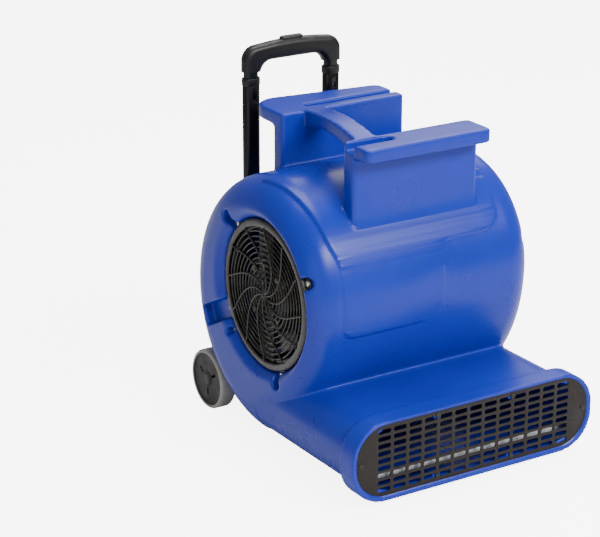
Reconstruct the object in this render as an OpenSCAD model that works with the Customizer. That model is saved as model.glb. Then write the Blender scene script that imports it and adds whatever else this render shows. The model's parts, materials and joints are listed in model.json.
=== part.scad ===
// Car dryer blower: a centrifugal floor dryer in a rotationally moulded housing,
// with a round inlet in each side, a wide grilled outlet at floor level, two
// wheels and a telescopic pull handle.
// X runs along the fan axis, -Y is the outlet side, +Z is up and z = 0 is the floor.

/* [Housing] */
// Half of the housing's width along the fan axis
housing_half = 216; // [212:1:220]
// Thickness of the moulded wall
wall = 5; // [4:0.5:6]
// Radius of the rolled edge round both side faces
edge_r = 56; // [50:1:58]
// Height of the fan axis above the floor
fan_z = 256; // [254:1:258]
// Place of the fan axis from front to back
fan_y = 14; // [12:1:16]
// Radius of the scroll's upper front arc
scroll_r = 172; // [170:1:174]
// Extra radius of the scroll's back arc
scroll_step = 44; // [42:1:46]
// Extra radius of the scroll's lower front arc
scroll_flat = 100; // [90:5:110]
// Radius of the recess round each inlet, at its floor
inlet_recess_r = 124; // [122:1:126]
// Depth of that recess below the side face
inlet_recess = 20; // [16:1:22]

/* [Outlet] */
// Half of the collar's width
collar_half = 229; // [226:1:232]
// Lowest point of the collar
collar_low = 6.5; // [5:0.5:8]
// Highest point of the collar
collar_high = 138; // [134:1:140]
// Length of the collar along the duct
collar_l = 38; // [30:1:44]
// Y of the collar's front face
front_y = -276; // [-280:1:-272]
// Number of slots across the grille
slot_columns = 13; // [9:2:13]
// Number of slots down the grille
slot_rows = 9; // [5:2:9]

/* [Towers] */
// Half of a tower's length along the fan axis
tower_half = 118; // [105:1:122]
// Thickness of a tower's wall
tower_t = 30; // [26:1:34]
// Height of the towers' flat tops
tower_top = 517; // [505:1:520]
// Thickness of the lip at the top of each tower
lip_t = 22; // [16:1:24]

/* [Wheels] */
// Radius of the wheels
wheel_r = 51; // [48:1:52]
// Radius of the wheels' hubs
hub_r = 45; // [38:1:46]
// Width of the tyres
wheel_w = 29; // [24:1:30]
// Y of the axle
axle_y = 192.6; // [190:0.2:196]
// Radius of the axle
axle_r = 6; // [5:0.5:7]

/* [Pull handle] */
// Distance between the two poles
pole_pitch = 157; // [150:1:160]
// Y of the poles
pole_y = 263; // [262:0.5:264]
// Height of the poles' top collars
pole_top = 536.5; // [530:0.5:540]
// Height of the grip bar's top
grip_top = 595; // [590:1:600]
// Travel of the release button
button_travel = 4; // [3:0.5:4.5]

/* [Fan] */
// Outer radius of the impeller
impeller_r = 113; // [108:1:116]
// Half of the impeller's width
impeller_half = 136; // [120:1:140]
// Number of blades
blade_count = 36; // [24:2:40]
// Radius of the motor's body
motor_r = 60; // [54:1:62]
// Radius of the motor's shaft
shaft_r = 8; // [6:0.5:9]

/* [Hidden] */
$fn = 72;

blue = "royalblue";
black = [0.09, 0.09, 0.1];
dark = [0.2, 0.18, 0.17];
zinc = [0.72, 0.73, 0.75];

// Centres of the scroll's arcs
arc_y = fan_y + 13;
top_arc_z = fan_z + 13;
back_arc_z = top_arc_z - scroll_step;
back_r = scroll_r + scroll_step;
low_front_y = arc_y + scroll_flat;
low_front_r = scroll_r + scroll_flat;
floor_z = back_arc_z - back_r;
duct_top = 131;
side_floor_x = housing_half - inlet_recess;
recess_round = 20;
inlet_hole_r = 108;
screw_angles = [46, 155, 251, -27];
notch_end_r = [156, 147, 151, 153];
guard_screw_r = 130;
side_screw_angle = -43;
side_screw_r = 135;

plate_half = 220.5;
plate_low = 15.5;
plate_high = 132.5;
plate_corner = 54;
plate_t = 2;
plate_y = front_y + 2.2;
plate_mid_z = (plate_low + plate_high) / 2;
slot_pitch_x = 28.33;
slot_pitch_z = 12;
slot_w = 23;
slot_h = 8;
end_screw_x = 212.6;
long_screw_x = 71;
long_screw_z = 51.2;

front_wall_y = -103.5;
rear_wall_y = 100.5;
front_lip = 37.5;
groove_deep = 15;
carry_x = -67;
carry_w = 38;
carry_turn = -7.5;

wheel_x = 212;
wheel_in = wheel_x - wheel_w;
beam_half = 172;
beam_back = 246;

pole_x = pole_pitch / 2;
clamp_z = 337;
clamp_h = 30;
clamp_half = 98;
tube_w = 30;
tube_d = 22;
tube_wall = 1.5;
inner_w = 25.4;
inner_d = 17.4;
inner_wall = 1.2;
collar_h = 12.5;
tube_low = 54;
inner_low = 200;
pin_z = 222;
pin_r = 3;
lock_lift = 280;
grip_low = 547;
grip_bar = 32;
grip_rise = 4.5;
grip_d = 24;
grip_side = 16;
pin_back = 3.45;

panel_z = 225;
panel_y = 250;
knob_z = 246;
gland_z = 196;
gland_r = 4.5;

motor_x = -199;
stator_l = 60;
shield_l = 32;
foot_x = 140;
foot_y = -215;
foot_r = 15;
foot_screw_r = 2.5;
slack = 0.05;

// Puts a drawing's x along Y, its y along Z and its height along X
module side_on() rotate([90, 0, 90]) children();

module at_fan() translate([0, fan_y, fan_z]) side_on() children();

module at_axle() translate([0, axle_y, wheel_r]) side_on() children();

// The -X side's piece, or its mirror image on the +X side
module on_side(side) mirror([side > 0 ? 1 : 0, 0, 0]) children();

// A flat slot shape, w wide and d deep, with half-round ends
module stadium(w, d) {
    square([w - d, d], center = true);
    for (x = [-1, 1]) translate([x * (w - d) / 2, 0]) circle(d = d);
}

// A rectangle from low to high with round corners
module round_box(low, high, r) {
    translate([low[0] + r, low[1]]) square([high[0] - low[0] - 2 * r, high[1] - low[1]]);
    translate([low[0], low[1] + r]) square([high[0] - low[0], high[1] - low[1] - 2 * r]);
    for (x = [low[0] + r, high[0] - r], y = [low[1] + r, high[1] - r]) translate([x, y]) circle(r);
}

// A ring from x_low to x_high along the fan axis
module fan_ring(r_in, r_out, x_low, x_high) {
    at_fan() translate([0, 0, x_low]) linear_extrude(x_high - x_low) difference() {
        circle(r_out);
        if (r_in > 0) circle(r_in);
    }
}

// A pan-head screw whose shank points along +Z from the origin and whose head is below it
module screw(r, shank, head_r, head_h) {
    cylinder(r = r, h = shank);
    translate([0, 0, -head_h]) cylinder(r = head_r, h = head_h);
}

// One arc of the scroll, from angle a0 to a1, with its rolled side edges
module scroll_arc(y, z, r, a0, a1, inset) {
    e = edge_r - inset;
    half = housing_half - inset;
    translate([0, y, z]) side_on() rotate([0, 0, a0]) rotate_extrude(angle = a1 - a0) {
        translate([0, -half]) square([r - inset - e, 2 * half]);
        translate([0, e - half]) square([r - inset, 2 * (half - e)]);
        for (s = [-1, 1]) translate([r - inset - e, s * (half - e)]) circle(e);
    }
}

// The duct from under the fan to y_front, with half-round sides
module duct(inset, y_front) {
    h = duct_top - floor_z - 2 * inset;
    translate([0, arc_y, (duct_top + floor_z) / 2]) rotate([90, 0, 0])
        linear_extrude(arc_y - y_front) stadium(2 * (housing_half - inset), h);
}

module scroll(inset) {
    half = housing_half - inset;
    scroll_arc(arc_y, top_arc_z, scroll_r, 90, 180, inset);
    scroll_arc(arc_y, back_arc_z, back_r, -90, 90, inset);
    scroll_arc(low_front_y, top_arc_z, low_front_r, 180, 235, inset);
    translate([-half, 0, 0]) side_on() linear_extrude(2 * half)
        polygon([[arc_y + 1, 135], [arc_y + 1, floor_z + edge_r], [0, 88]]);
}

// The round recess at each inlet, down to floor_x, with a rounded rim
module inlet_dish(grow, floor_x) {
    r = inlet_recess_r + recess_round + grow;
    at_fan() rotate_extrude() difference() {
        translate([0, floor_x]) square([r, 60]);
        translate([r, floor_x]) circle(recess_round);
    }
}

// Notches round the inlet that give room for the guard's screws, and a deep rear pocket
module inlet_pockets(grow, floor_x) {
    for (i = [0:3]) at_fan() rotate([0, 0, screw_angles[i]]) translate([0, 0, floor_x])
        linear_extrude(60) translate([(112 + notch_end_r[i]) / 2, 0])
            stadium(notch_end_r[i] - 112 + 2 * grow, 20 + 2 * grow);
    at_fan() rotate([0, 0, screw_angles[3]]) translate([120, -17 - grow, floor_x])
        cube([74 + grow, 34 + 2 * grow, 60]);
    at_fan() rotate([0, 0, side_screw_angle]) translate([side_screw_r, 0, floor_x + 4])
        cylinder(r = 7 + grow, h = 60);
}

// Points along an arc about c, from angle a0 to a1
function arc(c, r, a0, a1) = [for (i = [0:12]) let (a = a0 + (a1 - a0) * i / 12) c + r * [cos(a), sin(a)]];

module tower_wall(y0, inset)
    translate([0, 0, 330]) linear_extrude(tower_top - inset - 330)
        round_box([-tower_half + inset, y0 + inset], [tower_half - inset, y0 + tower_t - inset], 7 - inset);

// The hollow curve under a lip, on the side of the wall's face at sign s
module lip_fillet(y_face, s, r)
    translate([-tower_half + 6, 0, 0]) side_on() linear_extrude(2 * tower_half - 12) difference() {
        translate([y_face - (s < 0 ? r : 1), tower_top - lip_t - r]) square([r + 1, r + 1]);
        translate([y_face + s * r, tower_top - lip_t - r]) circle(r);
    }

module front_tower() {
    tower_wall(front_wall_y, 0);
    translate([0, 0, tower_top - lip_t]) linear_extrude(lip_t)
        round_box([-tower_half, front_wall_y - front_lip], [tower_half, front_wall_y + tower_t], 12);
    lip_fillet(front_wall_y, -1, 8);
}

// The rear lip is deeper towards -X, where its corner has a large radius
module rear_tower() {
    tower_wall(rear_wall_y, 0);
    translate([0, 0, tower_top - lip_t]) linear_extrude(lip_t) polygon(concat(
        [[-tower_half, rear_wall_y + 15], [tower_half, rear_wall_y + 15]],
        arc([tower_half - 14, 167], 14, 0, 83.3),
        arc([-tower_half + 42, 160], 42, 83.3, 180)));
    lip_fillet(rear_wall_y + tower_t, 1, 26);
}

// A blind groove in a tower's top, round at one end and open at the other
module cord_groove(y_mid, x_round, w, s, grow) {
    translate([0, 0, tower_top - groove_deep - grow]) linear_extrude(groove_deep + grow + 10) {
        translate([x_round, y_mid]) circle(w / 2 + grow);
        translate([s < 0 ? -tower_half - 10 : x_round, y_mid - w / 2 - grow])
            square([s < 0 ? x_round + tower_half + 10 : tower_half + 10 - x_round, w + 2 * grow]);
    }
}

module cord_grooves(grow) {
    cord_groove(front_wall_y + 9.5, -52, 22, -1, grow);
    cord_groove(rear_wall_y + 31.5, -50, 14, 1, grow);
}

// The arched carrying handle, set a little askew between the towers
module carry_handle() {
    span = rear_wall_y - front_wall_y - tower_t + 16;
    rise_top = 8;
    rise_low = 16;
    r_top = (span * span / 4 + rise_top * rise_top) / (2 * rise_top);
    r_low = (span * span / 4 + rise_low * rise_low) / (2 * rise_low);
    translate([carry_x, (rear_wall_y + front_wall_y + tower_t) / 2, 0]) rotate([0, 0, carry_turn])
        translate([-carry_w / 2, 0, 0]) side_on() linear_extrude(carry_w) difference() {
            intersection() {
                translate([-span / 2, tower_top - 30]) square([span, 40]);
                translate([0, tower_top + rise_top - r_top]) circle(r_top, $fn = 200);
            }
            translate([0, tower_top - 30 + rise_low - r_low]) circle(r_low, $fn = 200);
        }
}

// The moulded beam that carries the axle and the lower pole bracket
module axle_beam(inset) {
    translate([-beam_half + inset, 0, 0]) side_on() linear_extrude(2 * (beam_half - inset))
        polygon([[110, 70], [130, 34 + inset], [232, 34 + inset], [beam_back - inset, 46],
            [beam_back - inset, 108 - inset], [190, 108 - inset]]);
}

module clamp_boss(inset) {
    translate([-clamp_half + inset, 150, clamp_z - clamp_h / 2 + inset])
        cube([2 * (clamp_half - inset), beam_back - 150 - inset, clamp_h - 2 * inset]);
}

module panel_boss(inset) {
    translate([-45 + inset, 200, panel_z - 56 + inset])
        cube([90 - 2 * inset, panel_y - 200 - inset, 112 - 2 * inset]);
}

module housing_outer() {
    scroll(0);
    duct(0, front_y + 10);
    translate([0, front_y + collar_l, 0]) rotate([90, 0, 0]) linear_extrude(collar_l)
        round_box([-collar_half, collar_low], [collar_half, collar_high], 60);
    front_tower();
    rear_tower();
    carry_handle();
    axle_beam(0);
    clamp_boss(0);
    panel_boss(0);
}

module housing_void() {
    difference() {
        union() {
            scroll(wall);
            duct(wall, front_y + collar_l);
            tower_wall(front_wall_y, wall);
            tower_wall(rear_wall_y, wall);
            axle_beam(wall);
            clamp_boss(wall);
            panel_boss(wall);
        }
        for (side = [-1, 1]) on_side(-side) {
            inlet_dish(wall, side_floor_x - wall);
            inlet_pockets(wall, side_floor_x - wall - 1);
            at_axle() translate([0, 0, wheel_in - 5 - wall]) cylinder(r = wheel_r + 5 + wall, h = 60);
        }
        at_axle() translate([0, 0, -beam_half]) cylinder(r = axle_r + 8, h = 2 * beam_half);
        cord_grooves(wall);
    }
}

mouth_l = 406;
mouth_h = 107;
brace_gap = 0.3;

module housing() color(blue) difference() {
    housing_outer();
    housing_void();
    for (side = [-1, 1]) on_side(-side) {
        inlet_dish(0, side_floor_x);
        inlet_pockets(0, side_floor_x);
        at_fan() translate([0, 0, 150]) cylinder(r = inlet_hole_r, h = 60);
        at_axle() translate([0, 0, wheel_in - 5]) cylinder(r = wheel_r + 5, h = 60);
        for (a = screw_angles) at_fan() rotate([0, 0, a]) translate([guard_screw_r, 0, 180])
            cylinder(r = 2.5, h = 30);
        at_fan() rotate([0, 0, side_screw_angle]) translate([side_screw_r, 0, 180])
            cylinder(r = 2.5, h = 30);
        for (z = [-1, 1]) at_fan() translate([0, z * 114.5, 180]) cylinder(r = 3, h = 30);
    }
    at_axle() translate([0, 0, -beam_half - 1]) cylinder(r = axle_r + slack, h = 2 * beam_half + 2);
    // Mouth of the duct behind the grille, and the shallow recess that the grille sits in
    translate([0, front_y + collar_l + 1, plate_mid_z]) rotate([90, 0, 0])
        linear_extrude(collar_l + 2) difference() {
            stadium(mouth_l, mouth_h);
            for (x = [-1, 1], z = [-1, 1]) translate([x * long_screw_x - 7, z * long_screw_z - 7])
                square([14, 14]);
        }
    translate([0, plate_y + plate_t, 0]) rotate([90, 0, 0]) linear_extrude(10)
        round_box([-plate_half - 1, plate_low - 1], [plate_half + 1, plate_high + 1], plate_corner + 1);
    grille_screw_places() rotate([90, 0, 0]) translate([0, 0, -24]) cylinder(r = 1.9, h = 22);
    cord_grooves(0);
    // Opening behind the switch panel, and the screw holes at the back
    translate([-32, panel_y - 20, panel_z - 43]) cube([64, 30, 86]);
    panel_screw_places() rotate([90, 0, 0]) cylinder(r = 1.9, h = 16);
    pole_screw_places() rotate([90, 0, 0]) cylinder(r = 2.6, h = 16);
    for (x = [-foot_x, foot_x]) translate([x, foot_y, floor_z - 1]) cylinder(r = foot_screw_r, h = 10);
}

module inlet_ring(side) on_side(side) color(dark) difference() {
    union() {
        fan_ring(inlet_hole_r - 2.5, 121, -side_floor_x - 3, -side_floor_x);
        fan_ring(inlet_hole_r - 2.5, inlet_hole_r - 0.3, -side_floor_x, -side_floor_x + 14);
    }
    for (z = [-1, 1]) at_fan() translate([0, z * 114.5, -side_floor_x - 5]) cylinder(r = 3, h = 10);
}

guard_low = side_floor_x + 3;
guard_high = guard_low + 8;
wire_count = 12;
spoke_count = 12;

// The wire guard: a band with four screw tabs, concentric wires and spokes
module guard(side) on_side(side) color(black) {
    fan_ring(121.2, 123.4, -guard_high, -side_floor_x);
    at_fan() translate([0, 0, -guard_high]) linear_extrude(2.4) {
        difference() {
            circle(123.4);
            circle(112);
        }
        for (i = [1:wire_count]) difference() {
            circle(112 * i / (wire_count + 1) + 1.2);
            circle(112 * i / (wire_count + 1) - 1.2);
        }
        for (a = [0:360 / spoke_count:359]) rotate(a) translate([8, -1.2]) square([106, 2.4]);
    }
    for (a = screw_angles) at_fan() rotate([0, 0, a])
        translate([0, 0, -side_floor_x - 2.5]) linear_extrude(2.5) difference() {
            union() {
                translate([122, -8]) square([guard_screw_r - 122, 16]);
                translate([guard_screw_r, 0]) circle(8);
            }
            translate([guard_screw_r, 0]) circle(2.8);
        }
}

module guard_screws(side) on_side(side) color(zinc) {
    for (a = screw_angles) at_fan() rotate([0, 0, a])
        translate([guard_screw_r, 0, -side_floor_x - 2.5]) screw(2.4, 12, 5, 3.2);
    at_fan() rotate([0, 0, side_screw_angle])
        translate([side_screw_r, 0, -side_floor_x - 4]) screw(2.4, 14, 5, 3.2);
}

module grille_screw_places() {
    for (x = [-1, 1]) translate([x * end_screw_x, plate_y, plate_mid_z]) children();
    for (x = [-1, 1], z = [-1, 1])
        translate([x * long_screw_x, plate_y, plate_mid_z + z * long_screw_z]) children();
}

module outlet_grille() color(black) difference() {
    translate([0, plate_y + plate_t, 0]) rotate([90, 0, 0]) linear_extrude(plate_t) difference() {
        round_box([-plate_half, plate_low], [plate_half, plate_high], plate_corner);
        for (i = [0:slot_columns - 1], j = [0:slot_rows - 1])
            translate([(i - (slot_columns - 1) / 2) * slot_pitch_x,
                plate_mid_z + (j - (slot_rows - 1) / 2) * slot_pitch_z])
                square([slot_w, slot_h], center = true);
    }
    grille_screw_places() translate([0, 5, 0]) rotate([90, 0, 0]) cylinder(r = 2.2, h = 10);
}

module grille_screws() color([0.25, 0.25, 0.26])
    grille_screw_places() rotate([-90, 0, 0]) screw(1.8, 14, 4.2, 1.8);

// An angle strip across the duct, with ends that follow the mouth's round sides
module outlet_brace() color(zinc) intersection() {
    union() {
        translate([-202, front_y + 16, 38]) cube([404, 1.5, 13]);
        translate([-202, front_y + 16, 38]) cube([404, 12, 1.5]);
    }
    translate([0, front_y + 30, plate_mid_z]) rotate([90, 0, 0]) linear_extrude(20)
        stadium(mouth_l - brace_gap, mouth_h - brace_gap);
}

// A forward-curved wheel with an inlet on both sides of its centre disc
module impeller() color([0.16, 0.16, 0.17]) {
    fan_ring(20, impeller_r - 1, -1, 1);
    for (s = [-1, 1]) fan_ring(impeller_r - 20, impeller_r, s * impeller_half - 1.5, s * impeller_half + 1.5);
    for (a = [0:360 / blade_count:359]) at_fan() rotate([0, 0, a])
        translate([impeller_r - 19, 0, -impeller_half]) rotate([0, 0, 28])
            translate([0, -0.8, 0]) cube([19, 1.6, 2 * impeller_half]);
}

module impeller_hub() color([0.6, 0.6, 0.62]) difference() {
    union() {
        fan_ring(shaft_r, 20, -16, 16);
        for (s = [-1, 1]) fan_ring(shaft_r, 32, s * 2.5 - 1.5, s * 2.5 + 1.5);
    }
    translate([10, fan_y, fan_z]) cylinder(r = 3, h = 40);
}

module hub_set_screw() color([0.3, 0.3, 0.32])
    translate([10, fan_y, fan_z + shaft_r]) cylinder(r = 3, h = 11);

module motor_shaft() color([0.75, 0.76, 0.78]) fan_ring(0, shaft_r, motor_x + 12, 24);

module rotor() color([0.5, 0.5, 0.53])
    fan_ring(shaft_r, 32, motor_x + shield_l + 2, motor_x + shield_l + stator_l - 2);

module bearing(x) color([0.7, 0.72, 0.75]) fan_ring(shaft_r, 17.5, x, x + 11);

module front_bearing() difference() {
    bearing(motor_x + 2 * shield_l + stator_l - 25);
    fan_ring(0, shaft_r + slack, -300, 300);
}

module rear_bearing() difference() {
    bearing(motor_x + 14);
    fan_ring(0, shaft_r + slack, -300, 300);
}

module motor_bolt_places() for (a = [45:90:359]) at_fan() rotate([0, 0, a]) translate([49, 0, 0]) children();

module stator() color([0.45, 0.42, 0.4]) difference() {
    fan_ring(33, motor_r - 3, motor_x + shield_l, motor_x + shield_l + stator_l);
    motor_bolt_places() translate([0, 0, motor_x]) cylinder(r = 2.8, h = 140);
}

// A cup with a bearing seat; it opens towards +X
module motor_shield() {
    difference() {
        fan_ring(0, motor_r, 0, shield_l);
        fan_ring(0, motor_r - 4, 25, shield_l + 1);
        fan_ring(22, 42, 4, 30);
        fan_ring(0, 17.5, 14, shield_l + 1);
        fan_ring(0, shaft_r + 2, -1, shield_l);
        motor_bolt_places() translate([0, 0, -1]) cylinder(r = 2.8, h = shield_l + 2);
    }
}

module rear_motor_shield() color([0.78, 0.78, 0.8]) translate([motor_x, 0, 0]) motor_shield();

module front_motor_shield() color([0.78, 0.78, 0.8])
    translate([motor_x + 2 * shield_l + stator_l, 0, 0]) mirror([1, 0, 0]) motor_shield();

module motor_bolts() color(zinc) motor_bolt_places() {
    translate([0, 0, motor_x - 2.5]) screw(2.5, 2 * shield_l + stator_l + 8, 4.5, 2.8);
    translate([0, 0, motor_x + 2 * shield_l + stator_l]) cylinder(r = 4.5, h = 4, $fn = 6);
}

// The upright strap across the -X inlet that the motor hangs on
module motor_bracket() color(zinc) difference() {
    translate([motor_x - 2.5, fan_y - 22, fan_z - 119]) cube([2.5, 44, 238]);
    motor_bolt_places() translate([0, 0, motor_x - 5]) cylinder(r = 2.8, h = 10);
    at_fan() translate([0, 0, motor_x - 5]) cylinder(r = 12, h = 10);
    for (z = [-1, 1]) at_fan() translate([0, z * 114.5, motor_x - 5]) cylinder(r = 3, h = 10);
    at_fan() translate([0, -86, motor_x - 5]) cylinder(r = 2.2, h = 10);
    for (y = [-1, 1]) translate([motor_x - 5, fan_y + y * 30, fan_z - 119]) rotate([0, 90, 0])
        cylinder(r = 13, h = 10);
}

module bracket_bolts() color(zinc) for (z = [-1, 1]) at_fan() translate([0, z * 114.5, motor_x - 2.5])
    screw(2.9, 14, 4.8, 2.8);

module capacitor() color([0.86, 0.86, 0.84]) at_fan()
    translate([0, -86, motor_x + 2]) cylinder(r = 17, h = 44);

module capacitor_clip() color(zinc) {
    at_fan() translate([0, -86, motor_x]) difference() {
        cylinder(r = 18.5, h = 14);
        translate([0, 0, 2]) cylinder(r = 17, h = 20);
        translate([-6, 10, 2]) cube([12, 20, 20]);
    }
    at_fan() translate([0, -86, motor_x - 4]) cylinder(r = 2.2, h = 4);
}

module panel_screw_places()
    for (x = [-1, 1], z = [-1, 1]) translate([x * 37, panel_y, panel_z + z * 48]) children();

module switch_panel() color(black) difference() {
    translate([0, panel_y + 3, panel_z]) rotate([90, 0, 0]) linear_extrude(3)
        round_box([-43, -54], [43, 54], 8);
    translate([0, panel_y + 10, knob_z]) rotate([90, 0, 0]) cylinder(r = 5, h = 20);
    translate([0, panel_y + 10, gland_z]) rotate([90, 0, 0]) cylinder(r = 8, h = 20);
    panel_screw_places() translate([0, 10, 0]) rotate([90, 0, 0]) cylinder(r = 2.2, h = 20);
}

module panel_screws() color(zinc)
    panel_screw_places() translate([0, 3, 0]) rotate([90, 0, 0]) screw(1.8, 14, 3.8, 2.2);

module rotary_switch() color([0.15, 0.15, 0.16]) difference() {
    union() {
        translate([0, panel_y, knob_z]) rotate([90, 0, 0]) cylinder(r = 17, h = 26);
        translate([0, panel_y + 4, knob_z]) rotate([90, 0, 0]) cylinder(r = 5, h = 5);
    }
    translate([0, panel_y + 5, knob_z]) rotate([90, 0, 0]) cylinder(r = 3 + slack, h = 22);
}

module speed_knob() color(black) {
    translate([0, panel_y + 20, knob_z]) rotate([90, 0, 0]) cylinder(r = 13, h = 15.5);
    translate([0, panel_y + 7, knob_z]) rotate([90, 0, 0]) cylinder(r = 18, h = 2.6);
    translate([-3, panel_y + 5, knob_z]) cube([6, 17, 17]);
    translate([0, panel_y + 5, knob_z]) rotate([90, 0, 0]) cylinder(r = 3, h = 20);
}

module cable_gland() color(black) translate([0, panel_y, gland_z]) rotate([90, 0, 0]) difference() {
    union() {
        translate([0, 0, -8]) cylinder(r = 12, h = 5, $fn = 6);
        translate([0, 0, -16]) cylinder(r = 9.5, h = 8);
        translate([0, 0, -4]) cylinder(r = 8, h = 16);
        cylinder(r = 11, h = 4, $fn = 6);
    }
    translate([0, 0, -17]) cylinder(r = gland_r, h = 40);
}

module axle() color([0.7, 0.71, 0.73]) at_axle() translate([0, 0, -208]) cylinder(r = axle_r, h = 416);

module wheel_spacers() color(black) for (s = [-1, 1]) at_axle()
    translate([0, 0, s * (beam_half + wheel_in) / 2 - 5.2]) linear_extrude(10.4) difference() {
        circle(11);
        circle(axle_r + slack);
    }

module axle_caps() color(zinc) for (side = [-1, 1]) on_side(-side) at_axle() {
    translate([0, 0, 205]) linear_extrude(3) difference() {
        circle(10);
        circle(axle_r);
    }
    translate([0, 0, 208]) cylinder(r = 10, h = 3);
}

// A disc-shaped hub with three narrow slots outside and three pockets inside
module wheel_hub(side) color(dark) on_side(side) at_axle() difference() {
    translate([0, 0, -wheel_x + 1]) cylinder(r = hub_r, h = wheel_w - 2);
    translate([0, 0, -wheel_x]) linear_extrude(2.6) difference() {
        circle(hub_r - 3);
        circle(14);
    }
    translate([0, 0, -wheel_x]) linear_extrude(9) for (a = [-90:120:200]) rotate(a)
        translate([15.5, -2.4]) square([14, 4.8]);
    translate([0, 0, -wheel_x]) cylinder(r = 10.6, h = 7.2);
    translate([0, 0, -wheel_in - 10]) linear_extrude(20) difference() {
        circle(hub_r - 5);
        circle(14);
        for (a = [90:120:359]) rotate(a) translate([8, -3]) square([40, 6]);
    }
    translate([0, 0, -wheel_x - 1]) cylinder(r = axle_r + slack, h = 60);
}

module tyre(side) color([0.55, 0.55, 0.54]) on_side(side) at_axle()
    translate([0, 0, -wheel_x]) rotate_extrude() difference() {
        round_box([hub_r - 7, 0], [wheel_r, wheel_w], 5.5);
        translate([hub_r - 8, -1]) square([8, wheel_w + 2]);
    }

module at_poles() for (s = [-1, 1]) translate([s * pole_x, pole_y, 0]) children();

module pole_screw_places()
    for (x = [-1, 1], z = [clamp_z, 76]) translate([x * 48, beam_back, z]) children();

module lower_pole_bracket() color(black) difference() {
    translate([-clamp_half, beam_back, 46]) cube([2 * clamp_half, 30, 60]);
    at_poles() translate([0, 0, tube_low]) linear_extrude(80) stadium(tube_w, tube_d);
    pole_screw_places() translate([0, 40, 0]) rotate([90, 0, 0]) cylinder(r = 3.2, h = 60);
    pole_screw_places() translate([0, 40, 0]) rotate([90, 0, 0]) cylinder(r = 6.5, h = 18);
}

module upper_pole_clamp() color(black) difference() {
    translate([-clamp_half, beam_back, clamp_z - clamp_h / 2]) cube([2 * clamp_half, 30, clamp_h]);
    at_poles() translate([0, 0, clamp_z - 40]) linear_extrude(80) stadium(tube_w, tube_d);
    pole_screw_places() translate([0, 40, 0]) rotate([90, 0, 0]) cylinder(r = 3.2, h = 60);
    pole_screw_places() translate([0, 40, 0]) rotate([90, 0, 0]) cylinder(r = 6.5, h = 18);
}

module pole_bracket_screws() color(zinc)
    pole_screw_places() translate([0, 22, 0]) rotate([90, 0, 0]) screw(2.5, 36, 6, 4);

module outer_tubes() color(black) difference() {
    at_poles() translate([0, 0, tube_low]) linear_extrude(pole_top - collar_h - tube_low) difference() {
        stadium(tube_w, tube_d);
        stadium(tube_w - 2 * tube_wall, tube_d - 2 * tube_wall);
    }
    at_poles() translate([0, 0, pin_z + lock_lift]) rotate([90, 0, 0]) cylinder(r = pin_r + 0.3, h = 20);
}

module tube_collars() color(black)
    at_poles() translate([0, 0, pole_top - collar_h]) linear_extrude(collar_h) difference() {
        stadium(tube_w + 2, tube_d + 2);
        stadium(inner_w + 0.8, inner_d + 0.8);
    }

module inner_tubes() color([0.12, 0.12, 0.13]) difference() {
    at_poles() translate([0, 0, inner_low]) linear_extrude(grip_low + 12 - inner_low) difference() {
        stadium(inner_w, inner_d);
        stadium(inner_w - 2 * inner_wall, inner_d - 2 * inner_wall);
    }
    at_poles() translate([0, 0, pin_z]) rotate([90, 0, 0]) cylinder(r = pin_r + slack, h = 20);
}

button_seat = 10;

// The U-shaped grip with an arched top, hollow for the release yoke
module handle_grip() color(black) difference() {
    arch_r = (60 * 60 + grip_rise * grip_rise) / (2 * grip_rise);
    translate([0, pole_y + grip_d / 2, 0]) rotate([90, 0, 0]) linear_extrude(grip_d) difference() {
        union() {
            round_box([-pole_x - grip_side, grip_low - 30], [pole_x + grip_side, grip_top - grip_rise], 25);
            intersection() {
                translate([0, grip_top - arch_r]) circle(arch_r, $fn = 200);
                translate([-66, grip_top - 14]) square([132, 20]);
            }
        }
        round_box([-pole_x + grip_side, grip_low - 60], [pole_x - grip_side, grip_top - grip_bar], 22);
        translate([-pole_x - 40, grip_low - 60]) square([2 * pole_x + 80, 60]);
    }
    at_poles() translate([0, 0, grip_low - 1]) linear_extrude(13) stadium(inner_w, inner_d);
    at_poles() translate([0, 0, grip_low]) cylinder(r = 3.4, h = 30);
    translate([-pole_x - 7, pole_y - 5.5, grip_top - 27]) cube([2 * pole_x + 14, 11, 13]);
    translate([0, pole_y, grip_top - 20]) linear_extrude(30) stadium(44.8, 14.8);
}

// The button stands proud of the arched top by its travel
module release_button() color(black) translate([0, pole_y, grip_top - button_seat])
    linear_extrude(button_seat + button_travel) stadium(44, 14);

// The bar inside the grip that carries the button's push to the two rods
module release_yoke() color([0.6, 0.6, 0.62]) difference() {
    translate([-pole_x - 5, pole_y - 4, grip_top - 21.5]) cube([2 * pole_x + 10, 8, 6]);
    at_poles() translate([0, 0, grip_top - 30]) cylinder(r = 2, h = 20);
}

yoke_top = grip_top - 15.5;

module release_rods() color(zinc) {
    at_poles() translate([0, 0, pin_z + 9]) cylinder(r = 2, h = yoke_top - pin_z - 9);
    for (s = [-1, 1]) translate([s * 14, pole_y, yoke_top]) cylinder(r = 3, h = grip_top - button_seat - yoke_top);
}

spring_turns = 2;
spring_r = 4;
spring_wire = 0.3;
spring_low = grip_top - 27;
spring_high = grip_top - 21.5;
spring_steps = 12;
spring_sides = 6;

// Points of the ring of the coil at step i
function coil_ring(i) = let (a = i * 360 / spring_steps,
    z = spring_low + spring_wire
        + (spring_high - spring_low - 2 * spring_wire) * i / (spring_turns * spring_steps))
    [for (j = [0:spring_sides - 1]) let (b = j * 360 / spring_sides, r = spring_r + spring_wire * cos(b))
        [r * cos(a), pole_y + r * sin(a), z + spring_wire * sin(b)]];

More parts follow.
